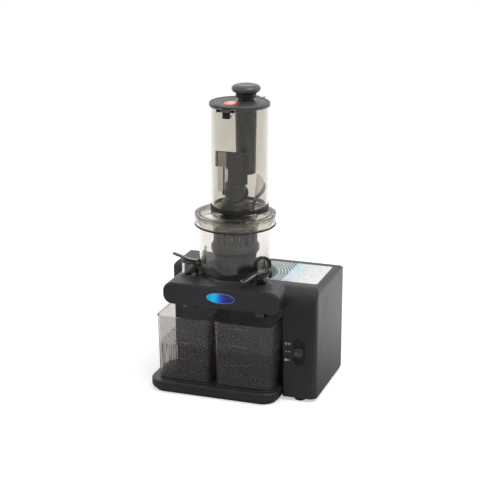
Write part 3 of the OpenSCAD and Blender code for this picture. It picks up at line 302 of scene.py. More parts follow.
# Painted edge highlight: a paler colour where the rounded normal leaves the true one, broken up by noise.
def makeEdgeHighlight():
    g, i, o = nodeGroup("edgeHighlight", [
        ("Vector", "Vector", None), ("Color", "Color", (0.03, 0.03, 0.03, 1)),
        ("Highlight", "Color", (0.1, 0.1, 0.1, 1)), ("Amount", "Float", 0.5)], [("Color", "Color")])
    soft = add(g, "Bevel", {"Radius": 0.0012}, samples=4)
    true = add(g, "NewGeometry")
    dot = add(g, "VectorMath", {0: soft.outputs["Normal"], 1: true.outputs["Normal"]},
              operation="DOT_PRODUCT")
    edge = spread(g, dot.outputs["Value"], 0.995, 0.86)
    patchy = add(g, "TexNoise", {"Scale": 160.0, "Detail": 3.0, "Vector": i.outputs["Vector"]})
    mask = math2(g, "MULTIPLY", edge, spread(g, patchy.outputs["Fac"], 0.3, 0.65))
    mask = math2(g, "MULTIPLY", mask, i.outputs["Amount"])
    fill(g, o, {"Color": blendColor(g, mask, i.outputs["Color"], i.outputs["Highlight"])})
    return g


# Fine drawn lines along one direction: noise stretched by the Stretch vector.
def makeDrawnLines():
    g, i, o = nodeGroup("drawnLines", [
        ("Vector", "Vector", None), ("Stretch", "Vector", (1.0, 1.0, 0.02)), ("Scale", "Float", 900.0),
        ("Deep", "Color", (0.3, 0.3, 0.3, 1)), ("Pale", "Color", (0.6, 0.6, 0.6, 1)),
        ("Shine Low", "Float", 0.2), ("Shine High", "Float", 0.4)],
        [("Color", "Color"), ("Roughness", "Float"), ("Height", "Float")])
    scale = add(g, "VectorMath", {0: i.outputs["Vector"], 1: i.outputs["Stretch"]}, operation="MULTIPLY")
    lines = add(g, "TexNoise", {"Detail": 3.0, "Roughness": 0.6, "Vector": scale.outputs["Vector"],
                                "Scale": i.outputs["Scale"]})
    mask = spread(g, lines.outputs["Fac"], 0.3, 0.7)
    return endGroup(g, i, o, mask, mask, lines.outputs["Fac"])


mouldGrain = makeMouldGrain()
edgeHighlight = makeEdgeHighlight()
drawnLines = makeDrawnLines()


def startFinish(name):
    mat = bpy.data.materials.new(name)
    mat.use_nodes = True
    tree = mat.node_tree
    place = add(tree, "TexCoord")
    return mat, tree, tree.nodes["Principled BSDF"], place.outputs["Object"]


def useGroup(tree, group, vector, values):
    node = tree.nodes.new("ShaderNodeGroup")
    node.node_tree = group
    return fill(tree, node, {"Vector": vector, **values})


def raiseBump(tree, shader, height, strength, distance=0.0001, soft=0.0):
    bump = add(tree, "Bump", {"Strength": strength, "Distance": distance, "Height": height})
    if soft:
        rounded = add(tree, "Bevel", {"Radius": soft}, samples=4)
        fill(tree, bump, {"Normal": rounded.outputs["Normal"]})
    fill(tree, shader, {"Normal": bump.outputs["Normal"]})


def rgba(c):
    return (c[0], c[1], c[2], 1.0)


# What all finishes share: a group with two tones and two levels of shine.
def toned(tree, group, place, deep, pale, shine, more):
    return useGroup(tree, group, place, {"Deep": rgba(deep), "Pale": rgba(pale), "Shine Low": shine[0],
                                         "Shine High": shine[1], **more})


# Opaque moulded plastic or rubber.
def plastic(name, deep, pale, shine, grain=2200.0, mottle=18.0, bump=0.15, edgeLight=None, edgeLightAmount=0.5, soft=0.0,
            coat=0.0, coatRough=0.1, level=0.5):
    mat, tree, shader, place = startFinish(name)
    g = toned(tree, mouldGrain, place, deep, pale, shine, {"Grain": grain, "Mottle": mottle})
    color = g.outputs["Color"]
    # painted highlight: the edges of the finish turn towards the paler edge colour
    if edgeLight is not None:
        edgeLighting = useGroup(tree, edgeHighlight, place, {"Highlight": rgba(edgeLight), "Amount": edgeLightAmount, "Color": color})
        color = edgeLighting.outputs["Color"]
    fill(tree, shader, {"Base Color": color, "Roughness": g.outputs["Roughness"], "Coat Weight": coat,
                        "Coat Roughness": coatRough, "Specular IOR Level": level})
    raiseBump(tree, shader, g.outputs["Height"], bump, 0.0001, soft)
    return mat


# Drawn or turned metal.
def metal(name, deep, pale, shine, stretch=(1.0, 1.0, 0.02), scale=900.0, bump=0.1):
    mat, tree, shader, place = startFinish(name)
    g = toned(tree, drawnLines, place, deep, pale, shine, {"Stretch": stretch, "Scale": scale})
    fill(tree, shader, {"Base Color": g.outputs["Color"], "Roughness": g.outputs["Roughness"],
                        "Metallic": 1.0})
    raiseBump(tree, shader, g.outputs["Height"], bump, 0.00005)
    return mat


# Clear tinted plastic; lamps pass it, so that what stands inside is lit.
def clearPlastic(name, deep, pale, shine=(0.02, 0.06), mottle=30.0, bump=0.01, flutes=False, ior=1.49,
                 clear=1.0):
    mat, tree, shader, place = startFinish(name)
    g = toned(tree, mouldGrain, place, deep, pale, shine,
              {"Grain": 350.0 if bump else 40.0, "Mottle": mottle})
    color = g.outputs["Color"]
    if flutes:
        # painted light and shade: the fluted band is tinted deeper and the valleys between flutes paler,
        # standing for light bent by the rounded flutes; the smoky tint itself is the plastic's own
        fluted = add(tree, "Attribute", attribute_name="fluted")
        valley = add(tree, "Attribute", attribute_name="valley")
        color = blendColor(tree, math2(tree, "MULTIPLY", fluted.outputs["Fac"], 0.7), color,
                           (0.3, 0.27, 0.26, 1))
        color = blendColor(tree, valley.outputs["Fac"], color, (0.95, 0.93, 0.92, 1))
    fill(tree, shader, {"Base Color": color, "Roughness": g.outputs["Roughness"],
                        "Transmission Weight": clear, "IOR": ior})
    if bump:
        raiseBump(tree, shader, g.outputs["Height"], bump, 0.0001)
    through = add(tree, "BsdfTransparent", {"Color": color})
    rays = add(tree, "LightPath")
    passed = math2(tree, "MAXIMUM", rays.outputs["Is Shadow Ray"], rays.outputs["Is Diffuse Ray"])
    pick = add(tree, "MixShader", {0: passed, 1: shader.outputs[0], 2: through.outputs[0]})
    fill(tree, tree.nodes["Material Output"], {"Surface": pick.outputs[0]})
    return mat


# Finishes given an edge colour carry a painted highlight along their edges.
bodyCharcoal = plastic("bodyCharcoal", (0.0165, 0.0175, 0.019), (0.0205, 0.0215, 0.0235), (0.38, 0.46),
                       grain=1500, mottle=9, bump=0.18, edgeLight=(0.06, 0.06, 0.065), edgeLightAmount=0.35, soft=0.0008,
                       level=0.65)
fasciaSatin = plastic("fasciaSatin", (0.026, 0.0268, 0.032), (0.031, 0.0318, 0.037), (0.34, 0.4),
                      grain=2600, mottle=12, bump=0.08, edgeLight=(0.16, 0.16, 0.17), edgeLightAmount=0.7)
trimBlack = plastic("trimBlack", (0.012, 0.012, 0.013), (0.02, 0.02, 0.021), (0.3, 0.42), grain=2400,
                    bump=0.12, edgeLight=(0.08, 0.08, 0.08), soft=0.0005)
innerBlack = plastic("innerBlack", (0.015, 0.015, 0.016), (0.026, 0.026, 0.027), (0.45, 0.6), bump=0.2)
glossBlack = plastic("glossBlack", (0.008, 0.008, 0.009), (0.014, 0.014, 0.015), (0.1, 0.18), grain=900,
                     bump=0.03, coat=0.3, coatRough=0.05)
strainerBlack = plastic("strainerBlack", (0.028, 0.031, 0.032), (0.035, 0.039, 0.04), (0.36, 0.46),
                        grain=2600, mottle=18, bump=0.04, edgeLight=(0.07, 0.075, 0.075), edgeLightAmount=0.4)
augerBlack = plastic("augerBlack", (0.013, 0.0155, 0.018), (0.018, 0.021, 0.024), (0.3, 0.4), grain=2600,
                     mottle=14, bump=0.03)
tongueGrey = plastic("tongueGrey", (0.075, 0.075, 0.073), (0.09, 0.09, 0.088), (0.34, 0.44), grain=2000,
                     mottle=22, bump=0.12)
sliderGrey = plastic("sliderGrey", (0.032, 0.033, 0.035), (0.042, 0.043, 0.045), (0.3, 0.4), grain=2400,
                     bump=0.1, edgeLight=(0.13, 0.13, 0.13), edgeLightAmount=0.8, soft=0.0005)
leverGloss = plastic("leverGloss", (0.012, 0.012, 0.013), (0.02, 0.02, 0.021), (0.12, 0.2), grain=900,
                     bump=0.02, coat=1.0, coatRough=0.06, level=0.9)
floorBlack = plastic("floorBlack", (0.008, 0.008, 0.008), (0.012, 0.012, 0.012), (0.5, 0.6), grain=1500,
                     bump=0.05, level=0.25)
linerBrown = plastic("linerBrown", (0.1, 0.07, 0.05), (0.16, 0.12, 0.09), (0.2, 0.3), grain=900, bump=0.04,
                     coat=0.5)
rimGrey = plastic("rimGrey", (0.2, 0.2, 0.21), (0.3, 0.3, 0.31), (0.25, 0.35), grain=1500, mottle=200,
                  bump=0.05)
stemBlack = plastic("stemBlack", (0.017, 0.019, 0.021), (0.023, 0.025, 0.027), (0.2, 0.28), grain=1600,
                    bump=0.03)
lidSatin = plastic("lidSatin", (0.05, 0.051, 0.053), (0.066, 0.067, 0.069), (0.34, 0.44), grain=2000,
                   mottle=22, bump=0.14, edgeLight=(0.2, 0.2, 0.2), edgeLightAmount=0.5)
knobGrey = plastic("knobGrey", (0.07, 0.072, 0.075), (0.09, 0.092, 0.095), (0.3, 0.4), grain=2400,
                   mottle=30, bump=0.1, edgeLight=(0.2, 0.2, 0.2), edgeLightAmount=0.3)
trayCharcoal = plastic("trayCharcoal", (0.018, 0.019, 0.02), (0.024, 0.025, 0.026), (0.34, 0.44),
                       grain=1500, mottle=12, bump=0.18, edgeLight=(0.09, 0.09, 0.09), edgeLightAmount=0.5)
footRubber = plastic("footRubber", (0.01, 0.01, 0.01), (0.02, 0.02, 0.02), (0.7, 0.85), grain=1200,
                     bump=0.35)
sealRubber = plastic("sealRubber", (0.008, 0.008, 0.008), (0.016, 0.016, 0.016), (0.5, 0.62), grain=1400,
                     bump=0.2)
plugRubber = plastic("plugRubber", (0.01, 0.01, 0.01), (0.02, 0.02, 0.02), (0.42, 0.55), grain=1500,
                     bump=0.2)
labelRed = plastic("labelRed", (0.72, 0.035, 0.015), (0.85, 0.07, 0.03), (0.22, 0.32), grain=900, mottle=60,
                   bump=0.03, coat=0.5, coatRough=0.08)
labelPale = plastic("labelPale", (0.95, 0.5, 0.4), (1.0, 0.6, 0.5), (0.25, 0.35), grain=900, mottle=60,
                    bump=0.03)
markGrey = plastic("markGrey", (0.5, 0.5, 0.5), (0.62, 0.62, 0.62), (0.5, 0.6), grain=1500, mottle=200,
                   bump=0.1)
markFaint = plastic("markFaint", (0.1, 0.09, 0.08), (0.16, 0.145, 0.13), (0.5, 0.6), grain=1500, mottle=200,
                    bump=0.1)
boardGreen = plastic("boardGreen", (0.01, 0.08, 0.03), (0.02, 0.14, 0.06), (0.3, 0.45), grain=700,
                     mottle=120, bump=0.1, coat=0.3)
gearNylon = plastic("gearNylon", (0.72, 0.71, 0.66), (0.82, 0.81, 0.77), (0.4, 0.5), grain=1800, bump=0.1)
steelDrawn = metal("steelDrawn", (0.5, 0.5, 0.51), (0.68, 0.68, 0.69), (0.22, 0.36))
steelScreen = metal("steelScreen", (0.4, 0.4, 0.41), (0.6, 0.6, 0.6), (0.25, 0.4), (1.0, 1.0, 1.0), 1500,
                    0.4)
bronzeCast = metal("bronzeCast", (0.42, 0.27, 0.12), (0.6, 0.42, 0.2), (0.3, 0.5), (1.0, 1.0, 1.0), 700,
                   0.3)
copperWound = metal("copperWound", (0.5, 0.2, 0.08), (0.75, 0.36, 0.17), (0.25, 0.45), (1.0, 1.0, 0.2), 500,
                    0.5)
smokeBowl = clearPlastic("smokeBowl", (0.86, 0.835, 0.815), (0.9, 0.88, 0.86))
smokeChute = clearPlastic("smokeChute", (0.72, 0.695, 0.64), (0.77, 0.745, 0.69))
smokeBox = clearPlastic("smokeBox", (0.67, 0.655, 0.645), (0.71, 0.695, 0.685), flutes=True, ior=1.12,
                        clear=0.95)
smokeNeck = clearPlastic("smokeNeck", (0.2, 0.18, 0.16), (0.26, 0.24, 0.21), bump=0.0)
smokeDark = clearPlastic("smokeDark", (0.24, 0.21, 0.19), (0.3, 0.27, 0.24), bump=0.0)
paneGreen = clearPlastic("paneGreen", (0.62, 0.7, 0.6), (0.72, 0.8, 0.7), bump=0.0)
smokeOutlet = clearPlastic("smokeOutlet", (0.74, 0.71, 0.66), (0.8, 0.78, 0.73))
smokeHood = clearPlastic("smokeHood", (0.42, 0.45, 0.36), (0.55, 0.56, 0.46))


# Oval badge: bright blue on the left runs into navy on the right, a little shimmer in it.
def makeBadgeBlue():
    mat, tree, shader, place = startFinish("badgeBlue")
    cut = add(tree, "SeparateXYZ", {0: place})
    across = spread(tree, cut.outputs["X"], -0.036, 0.012)
    ramp = add(tree, "ValToRGB", {"Fac": across})
    ramp.color_ramp.elements[0].color = (0.0, 0.42, 0.85, 1)
    ramp.color_ramp.elements[1].color = (0.02, 0.015, 0.16, 1)
    for at, color in ((0.2, (0.0, 0.62, 0.95, 1)), (0.48, (0.0, 0.14, 0.72, 1)),
                      (0.68, (0.025, 0.03, 0.32, 1))):
        ramp.color_ramp.elements.new(at).color = color
    sheen = add(tree, "TexNoise", {"Scale": 260.0, "Detail": 4.0, "Vector": place}).outputs["Fac"]
    fill(tree, shader, {
        "Base Color": blendColor(tree, spread(tree, sheen, 0.5, 0.85, 0.0, 0.1), ramp.outputs["Color"],
                                 (0.3, 0.45, 0.8, 1)),
        "Roughness": spread(tree, sheen, 0.3, 0.7, 0.18, 0.3), "Coat Weight": 0.35, "Coat Roughness": 0.04})
    return mat


badgeBlue = makeBadgeBlue()


# Printed panel: thin arcs about the bowl on a teal ground, then a pale field with soft
# lilac and teal clouds and faint grey dashes that stand for print.
def makePrintedPanel():
    mat, tree, shader, place = startFinish("printedPanel")
    cut = add(tree, "SeparateXYZ", {0: place})
    middle = (bowlAxis[0] * 0.001, (bowlAxis[1] + depthShift) * 0.001, deckTop * 0.001)
    away = add(tree, "VectorMath", {0: place, 1: middle}, operation="DISTANCE")
    wave = math2(tree, "SINE", math2(tree, "MULTIPLY", away.outputs["Value"], 1250.0), 0.0)
    arcs = spread(tree, wave, 0.55, 0.95)
    cloud = add(tree, "TexNoise", {"Scale": 26.0, "Detail": 2.0, "Vector": place})
    tealGround = blendColor(tree, spread(tree, cloud.outputs["Fac"], 0.35, 0.65), (0.13, 0.19, 0.2, 1),
                            (0.22, 0.33, 0.33, 1))
    arcField = blendColor(tree, arcs, tealGround, (0.95, 0.98, 0.98, 1))
    tint = add(tree, "TexNoise", {"Scale": 34.0, "Detail": 1.0, "Roughness": 0.4, "Vector": place})
    ramp = add(tree, "ValToRGB", {"Fac": tint.outputs["Fac"]})
    ends = ramp.color_ramp.elements
    ends[0].position, ends[0].color = 0.36, (0.62, 0.62, 0.9, 1)
    ends[1].position, ends[1].color = 0.64, (0.55, 0.88, 0.86, 1)
    ends.new(0.5).color = (0.84, 0.9, 0.95, 1)
    toWhite = spread(tree, cut.outputs["X"], 0.078, 0.1)
    field = blendColor(tree, toWhite, ramp.outputs["Color"], (0.93, 0.94, 0.95, 1))
    squeeze = add(tree, "Mapping", {"Scale": (420.0, 90.0, 1.0), "Vector": place})
    dash = add(tree, "TexNoise", {"Scale": 1.0, "Detail": 2.0, "Roughness": 0.7,
                                  "Vector": squeeze.outputs["Vector"]})
    rows = math2(tree, "SINE", math2(tree, "MULTIPLY", cut.outputs["Y"], 560.0), 0.0)
    ink = math2(tree, "MULTIPLY", spread(tree, dash.outputs["Fac"], 0.52, 0.6),
                spread(tree, rows, 0.35, 0.7))
    inkArea = math2(tree, "MULTIPLY", spread(tree, cut.outputs["X"], 0.082, 0.088), 0.55)
    field = blendColor(tree, math2(tree, "MULTIPLY", ink, inkArea), field, (0.2, 0.21, 0.24, 1))
    slant = math2(tree, "ADD", cut.outputs["X"], math2(tree, "MULTIPLY", cut.outputs["Y"], -0.011))
    edge = spread(tree, slant, 0.0661, 0.0668)
    grain = add(tree, "TexNoise", {"Scale": 1800.0, "Detail": 2.0, "Vector": place}).outputs["Fac"]
    fill(tree, shader, {"Base Color": blendColor(tree, edge, arcField, field),
                        "Roughness": spread(tree, grain, 0.3, 0.7, 0.28, 0.4)})
    raiseBump(tree, shader, grain, 0.05, 0.00005)
    return mat


printedPanel = makePrintedPanel()
print("finishes made:", len(bpy.data.materials))


frontPlate = {"x0": -108.3, "x1": 84.3, "z0": 152.7, "z1": 185.8, "corner": 13.8, "depth": 2.5, "ease": 0.9}
badge = {"x": -12.0, "z": 170.05, "halfW": 22.9, "halfH": 7.9, "foot": 2.4, "edge": 2.9, "dome": 0.9}


def makeFrontPlate():
    s = frontPlate
    w, h = s["x1"] - s["x0"], s["z1"] - s["z0"]
    line = roundedLine([(-2.2, 0), (0, 0, 0.3), (0, s["depth"], s["ease"]), (-2.6, s["depth"] + 0.05)],
                       False, 6, 0.3)
    plate = sweep(boxOutline(w, h, s["corner"], perCorner=16), line, False,
                  ((s["x0"] + s["x1"]) / 2, (s["z0"] + s["z1"]) / 2), (True, True))
    front = (0, deckFrontY, 0)
    addPiece("frontPlate", [facingFront(plate, front)], fasciaSatin, "base", ["deck_fascia"])
    oval = ovalOutline(badge["halfW"], badge["halfH"], 120)

    def drawnIn(t, z):
        return np.stack([oval[0][:, 0] * (1 - t) + badge["x"], oval[0][:, 1] * (1 - t) + badge["z"],
                         np.full(120, z)], -1)

    # dome: the oval drawn in towards its middle while its height follows a flat parabola
    steps = [(0, badge["foot"]), (0, badge["edge"])]
    steps += [(t, badge["edge"] + badge["dome"] * (1 - (1 - t) ** 2)) for t in np.linspace(0, 0.985, 16)]
    dome = patch(np.array([drawnIn(t, z) for t, z in steps]), False, True, True)
    addPiece("badgeDome", [facingFront(dome, front)], badgeBlue, "base", ["badge_plate"])
    line = roundedLine([(-0.1, 2.4), (0.6, 2.4, 0.1), (0.6, 3.2, 0.25), (-0.1, 3.2, 0.25)], True, 4, 5)
    addPiece("badgeRim", [facingFront(sweep(oval, line, True, (badge["x"], badge["z"])), front)], rimGrey,
             "base")


# Width and middle of each container.
containers = {"juice": (92.0, -79.0), "pulp": (101.0, 22.5)}
tray = {"w": 217.0, "d": 105.5, "r": 28.0, "h": 20.0, "wall": 3.0, "notchX": -42.0}


def makeTray():
    s = tray
    outline = boxOutline(s["w"], s["d"], s["r"], count=720)
    line = roundedLine([(-16, s["h"] - s["wall"]), (-9.5, s["h"] - s["wall"], 1.5), (-9.5, 0, 0.4),
                        (-6.5, 0, 0.8), (-6.5, 4.4, 0.6), (-1.6, 5.0, 1.4), (0, 8.5, 3.0), (0, s["h"], 2.6),
                        (-14, s["h"])], False, 7, 0.8)
    centre = (-28.0, -41.75)
    x, y = outline[0][:, 0] + centre[0], outline[0][:, 1] + centre[1]
    notch = np.exp(-((x - s["notchX"]) / 0.75) ** 2) * (y < centre[1])
    outer = (line[:, 0] > -1.5) & (line[:, 1] > 9) & (line[:, 1] < 20.5)
    base = sweep(outline, line, False, centre, (True, True), -0.9 * outer[:, None] * notch[None, :])
    patches = [base]
    # low lips around the two seats: a small bead carried along each container's foot
    bead = roundedLine([(0.6, 19.9), (2.4, 19.9, 0.2), (2.4, 20.9, 0.6), (0.6, 20.9, 0.5)], True, 4, 9)
    for width, centreX in containers.values():
        patches.append(sweep(boxOutline(width - 7.4, 85.6, 13.0), bead, True, (centreX, boxMiddleY)))
    addPiece("standTray", patches, trayCharcoal, "tray_base", ["tray"])


box = {"d": 93.0, "r": 13.0, "h": 108.0, "wall": 2.0, "draft": 2.5, "lip": 1.2, "fluteLow": 5.0,
       "fluteHigh": 62.0, "fluteDepth": 0.3, "fluteWidth": 4.0}


# Drafted box: the rim's outline drawn in towards the foot; on the outside the lower part
# is fluted, its depth following the absolute sine around the outline.
def makeBox(side):
    s = box
    width, centreX = containers[side]
    flutes = round((2 * (width + s["d"]) - 33) / s["fluteWidth"])
    outline = boxOutline(width - 2 * s["lip"], s["d"] - 2 * s["lip"], s["r"], count=8 * flutes,
                         perCorner=16)
    h, t, drop = s["h"], s["wall"], s["draft"]

    def inset(z):
        return -drop * (1 - z / h)

    zs = np.concatenate([[s["fluteLow"] - 2], np.linspace(s["fluteLow"], s["fluteLow"] + 3, 4),
                         np.linspace(s["fluteHigh"] - 2, s["fluteHigh"], 5), [s["fluteHigh"] + 1]])
    foot = [(-14, 0), (inset(0), 0, 3.2)]
    outer = roundedLine(foot + [(inset(4.9), 4.9)], False, 7, 0.8)
    walls = np.array([[inset(z), z] for z in zs])
    rim = roundedLine([(inset(70), 70), (inset(h - 2.5), h - 2.5, 0.6), (s["lip"], h - 2.5, 0.5),
                       (s["lip"], h, 0.7), (-t, h, 0.7), (inset(60) - t, 60), (inset(4) - t, t, 2.6),
                       (-16, t)], False, 5, 0.8)
    line = np.concatenate([outer, walls, rim])
    k = np.arange(8 * flutes)
    wave = 1 - np.abs(np.sin(math.pi * k / 8))
    z = line[:, 1]
    first = len(outer) + len(walls)
    rise = band(z, s["fluteLow"], s["fluteHigh"], 2.5, 1.6)
    rise = np.where(np.arange(len(z)) < first, rise, 0)
    centre = (centreX, boxMiddleY)
    line = line + np.array([0, tray["h"]])
    shell = sweep(outline, line, False, centre, (True, True),
                  -s["fluteDepth"] * rise[:, None] * wave[None, :])
    piece = addPiece(side + "Box", [shell], smokeBox, side + "_box",
                     [side + "_container"], 50)
    # how far each point lies in a valley between two flutes, and in the fluted band, for the painted light
    # and shade stripes of the tint
    for label, values in (("valley", rise[:, None] * wave[None, :] ** 1.5),
                          ("fluted", np.repeat(rise, len(k)))):
        layer = piece.data.attributes.new(label, "FLOAT", "POINT")
        layer.data.foreach_set("value", np.append(values.ravel(), [0.0, 0.0]).astype(np.float32))


# Short printed dashes on a container's front: thin rounded bars at the given heights.
def makeMarks(side, rows, dots=()):
    patches = []

    def onFront(height, width, r, top, ease, x, z):
        front = boxMiddleY - (box["d"] / 2 - box["lip"] - box["draft"] * (1 - (z - tray["h"]) / box["h"]))
        patches.append(facingFront(block(width, height, r, 0.02, top, ease, (x, z)), (0, front, 0)))

    for x0, x1, z in rows:
        bars = [(x0, x0 + 6.5, 0.5)] + [(x0 + 8.5 + 3.1 * k, x0 + 10.4 + 3.1 * k, 1.1) for k in range(5)]
        bars += [(x0 + 25.0, x1, 0.5)]
        for a, b, half in bars:
            onFront(2 * half, b - a, 0.4, 0.14, 0.05, (a + b) / 2, z)
    for x, z in dots:
        onFront(0.7, 1.2, 0.3, 0.12, 0.04, x, z)
    addPiece(side + "Marks", patches, markFaint, side + "_box")


bowl = {"r": 58.0, "wall": 2.8, "rimR": 61.4, "low": deckTop, "rimLow": 279.0, "high": 284.0,
        "floor": 190.4}


def makeBowl():
    s = bowl
    inner = s["r"] - s["wall"]
    line = [(s["r"], s["low"], 0.6), (s["r"], s["rimLow"], 1.2), (s["rimR"], s["rimLow"], 0.8),
            (s["rimR"], s["high"], 0.9), (inner, s["high"], 0.9), (inner, s["low"], 0.5)]
    base = [(inner - 0.1, 193.4, 1.2), (11.4, 193.4, 1.0), (11.4, 206, 0.6), (9, 206, 0.6),
            (9, s["floor"], 0.4), (inner - 0.1, s["floor"], 0.4)]
    addPiece("bowlFloor", [turned(base, bowlAxis, count=128)], floorBlack, "bowl_set")
    patches = [turned(line, bowlAxis, count=160, steps=6)]
    # scraper fin on the left wall: a blade that narrows upwards, drawn as stacked ovals
    rows = np.linspace(0, 1, 14)
    t = fullTurn(24)
    fin = []
    for k in rows:
        half = 5.2 * (1 - k) ** 0.8 + 0.5
        fin.append(np.stack([50.8 - 1.0 * k + 1.5 * np.cos(t), half * np.sin(t) - 3.0 * k,
                             np.full(24, 193.6 + 33 * k)], -1))
    patches.append(swung(patch(np.array(fin), False, True, True), 190, bowlAxis))
    addPiece("clearBowl", patches[:1], smokeBowl, "bowl_set", ["bowl"])
    addPiece("bowlFin", patches[1:], smokeHood, "bowl_set")


outlets = {
    "juice": {"axis": juiceAxis, "turn": 210.5, "rim": 208.0, "lever": 166.0, "reach": 33.5, "wide": 3.3,
              "rise": 5.0, "climbFrom": 2.0, "deep": 0.0},
    "pulp": {"axis": pulpAxis, "turn": -38.4, "rim": 201.5, "lever": 237.0, "reach": 38.0, "wide": 6.6,
             "rise": -8.0, "climbFrom": 13.2, "deep": 1.6}}
outletTower = {"r": 13.0, "wall": 2.2, "low": deckTop}


# Outlet tower with its box passage to the bowl and the two ears that hold the lever pin.
def makeOutlet(side):
    s, spot = outletTower, outlets[side]
    centre, rim, lever = spot["axis"], spot["rim"], spot["lever"]
    inner = s["r"] - s["wall"]
    tower = turned([(s["r"], s["low"], 0.5), (s["r"], rim, 1.0), (inner, rim, 0.6), (inner, s["low"], 0.4)],
                   centre, count=72)
    passage = block(17, 16, 2.5, deckTop, 199.8, 1.2, (65.2, 0), 0.2)
    patches = [swung(passage, spot["turn"], bowlAxis)]
    for way in (-1, 1):
        plate = block(5.2, 10.6, 2.5, -1.2, 1.2, 0.4)
        ear = placed(plate, (1, 0, 0), (0, 0, 1), (0, -1, 0), (-16.0, way * 5.1, rim + 0.2))
        patches.append(swung(ear, lever, centre))
    patches.append(swung(block(9, 12.6, 1.5, rim - 7, rim - 1.0, 0.8, (-13.6, 0)), lever, centre))
    addPiece(side + "Tower", [tower], smokeOutlet, "bowl_set", [side + "_outlet"])
    addPiece(side + "TowerNeck", patches, smokeNeck, "bowl_set")


# Lever: a rounded bar whose section (half width, middle, half height) changes along its length;
# the run beyond the plug climbs or droops by rise, and its tip closes in a short curve.
def makeLever(side):
    s = outlets[side]
    centre, rim, reach, wide, deep = s["axis"], s["rim"], s["reach"], s["wide"], s["deep"]
    stations = np.array([[-18.2, 2.6, 0.4, 1.2], [-17.6, 2.8, 0.9, 2.4], [-16, 2.9, 1.3, 2.6],
                         [-13.5, 2.9, 0.9, 2.0], [-11, 2.8, 0.3, 1.6], [-7, wide, 0.0, 1.5],
                         [9, wide, 0.0, 1.6], [13, wide, 0.0, 1.6], [16, wide, -deep, 1.8 + deep],
                         [reach - 3, wide, -deep, 1.9 + deep], [reach - 1, wide - 0.6, -deep, 1.7 + deep],
                         [reach, wide - 1.8, -deep, 1.0 + deep]])
    x = np.concatenate([np.linspace(-18.2, reach - 3, 60), np.linspace(reach - 2.8, reach, 10)])
    half = np.interp(x, stations[:, 0], stations[:, 1])
    lift = np.interp(x, stations[:, 0], stations[:, 2])
    tall = np.interp(x, stations[:, 0], stations[:, 3])
    climb = np.clip((x - s["climbFrom"]) / (reach - s["climbFrom"]), 0, 1) * s["rise"]
    t = fullTurn(36)
    c, q = np.cos(t), np.sin(t)
    # rounded-square section: each direction raised to the power 0.5
    ey, ez = np.sign(c) * np.abs(c) ** 0.5, np.sign(q) * np.abs(q) ** 0.5
    grid = np.stack([np.broadcast_to(x[:, None], (len(x), 36)), half[:, None] * ey,
                     rim + 3.7 + (lift + climb)[:, None] + tall[:, None] * ez], -1)
    arm = patch(grid, False, True, True)
    addPiece(side + "Lever", [swung(arm, s["lever"], centre)], leverGloss, side + "_cap",
             [side + "_lever"], 60)


def makePlug(side):
    rim = outlets[side]["rim"]
    line = [(0.6, rim - 1.5), (9.9, rim - 1.5, 0.5), (9.9, rim - 0.1, 0.1), (12.5, rim + 0.05, 0.3),
            (12.7, rim + 2.0, 0.8), (9.0, rim + 2.0, 0.3), (8.4, rim + 1.6, 0.3), (0.6, rim + 1.6)]
    addPiece(side + "Plug", [turned(line, outlets[side]["axis"], False, (True, True), 64, 4)], plugRubber,
             side + "_cap", [side + "_plug"])


mouth = {"middle": (35.4, -20.0, 209.8), "turn": -52.0, "outer": 14.2, "bore": 11.8, "inner": 9.6}


# Round mouth of the pulp passage on the bowl's wall: a short dark ring, a brown liner and a
# clear pane, each a profile of (radius, place along the ring's own axis) turned about it.
def makeMouth():
    s = mouth
    c, q = math.cos(math.radians(s["turn"])), math.sin(math.radians(s["turn"]))

    def facing(line, closed=True, caps=(False, False)):
        p = turned(line, (0, 0), closed, caps, 88)
        return placed(p, (-q, c, 0), (0, 0, 1), (c, q, 0), s["middle"])

    ring = facing([(s["bore"], -5.0, 0.4), (s["outer"], -5.0, 0.8), (s["outer"], 3.6, 1.2),
                   (s["bore"], 3.6, 0.9)])
    liner = facing([(s["inner"], -4.6, 0.4), (s["bore"] - 0.1, -4.6, 0.3), (s["bore"] - 0.1, 2.0, 0.4),
                    (s["inner"] + 1.0, 1.6, 0.6), (s["inner"], -1.0, 0.6)])
    pane = facing([(0.3, -3.8), (s["inner"] - 0.1, -3.8, 0.3), (s["inner"] - 0.1, -2.6, 0.3), (0.3, -2.2)],
                  False, (True, True))
    addPiece("mouthRing", [ring], glossBlack, "bowl_set")
    addPiece("mouthLiner", [liner], linerBrown, "bowl_set")
    addPiece("mouthPane", [pane], paneGreen, "bowl_set")


# Black dish under the bowl: a flat floor that steps up to a broad rim.
def makeDish():
    line = [(12.4, 187.05), (12.4, 188.2, 0.3), (45.0, 188.2, 0.8), (46.4, 190.0, 0.5), (54.6, 190.0, 0.6),
            (54.6, 187.05)]
    addPiece("dockDish", [turned(line, bowlAxis, False, count=128),
                          turned([(12.4, 187.0), (54.6, 187.0)], bowlAxis, False, count=128)], glossBlack,
             "base", ["dock_ring"])


hopper = {"skirt": 64.7, "bead": 65.6, "low": 270.0, "top": 287.0, "chute": 45.5, "wall": 2.8, "rim": 457.0,
          "throat": 34.0, "collar": 37.0, "collarLow": 263.4}


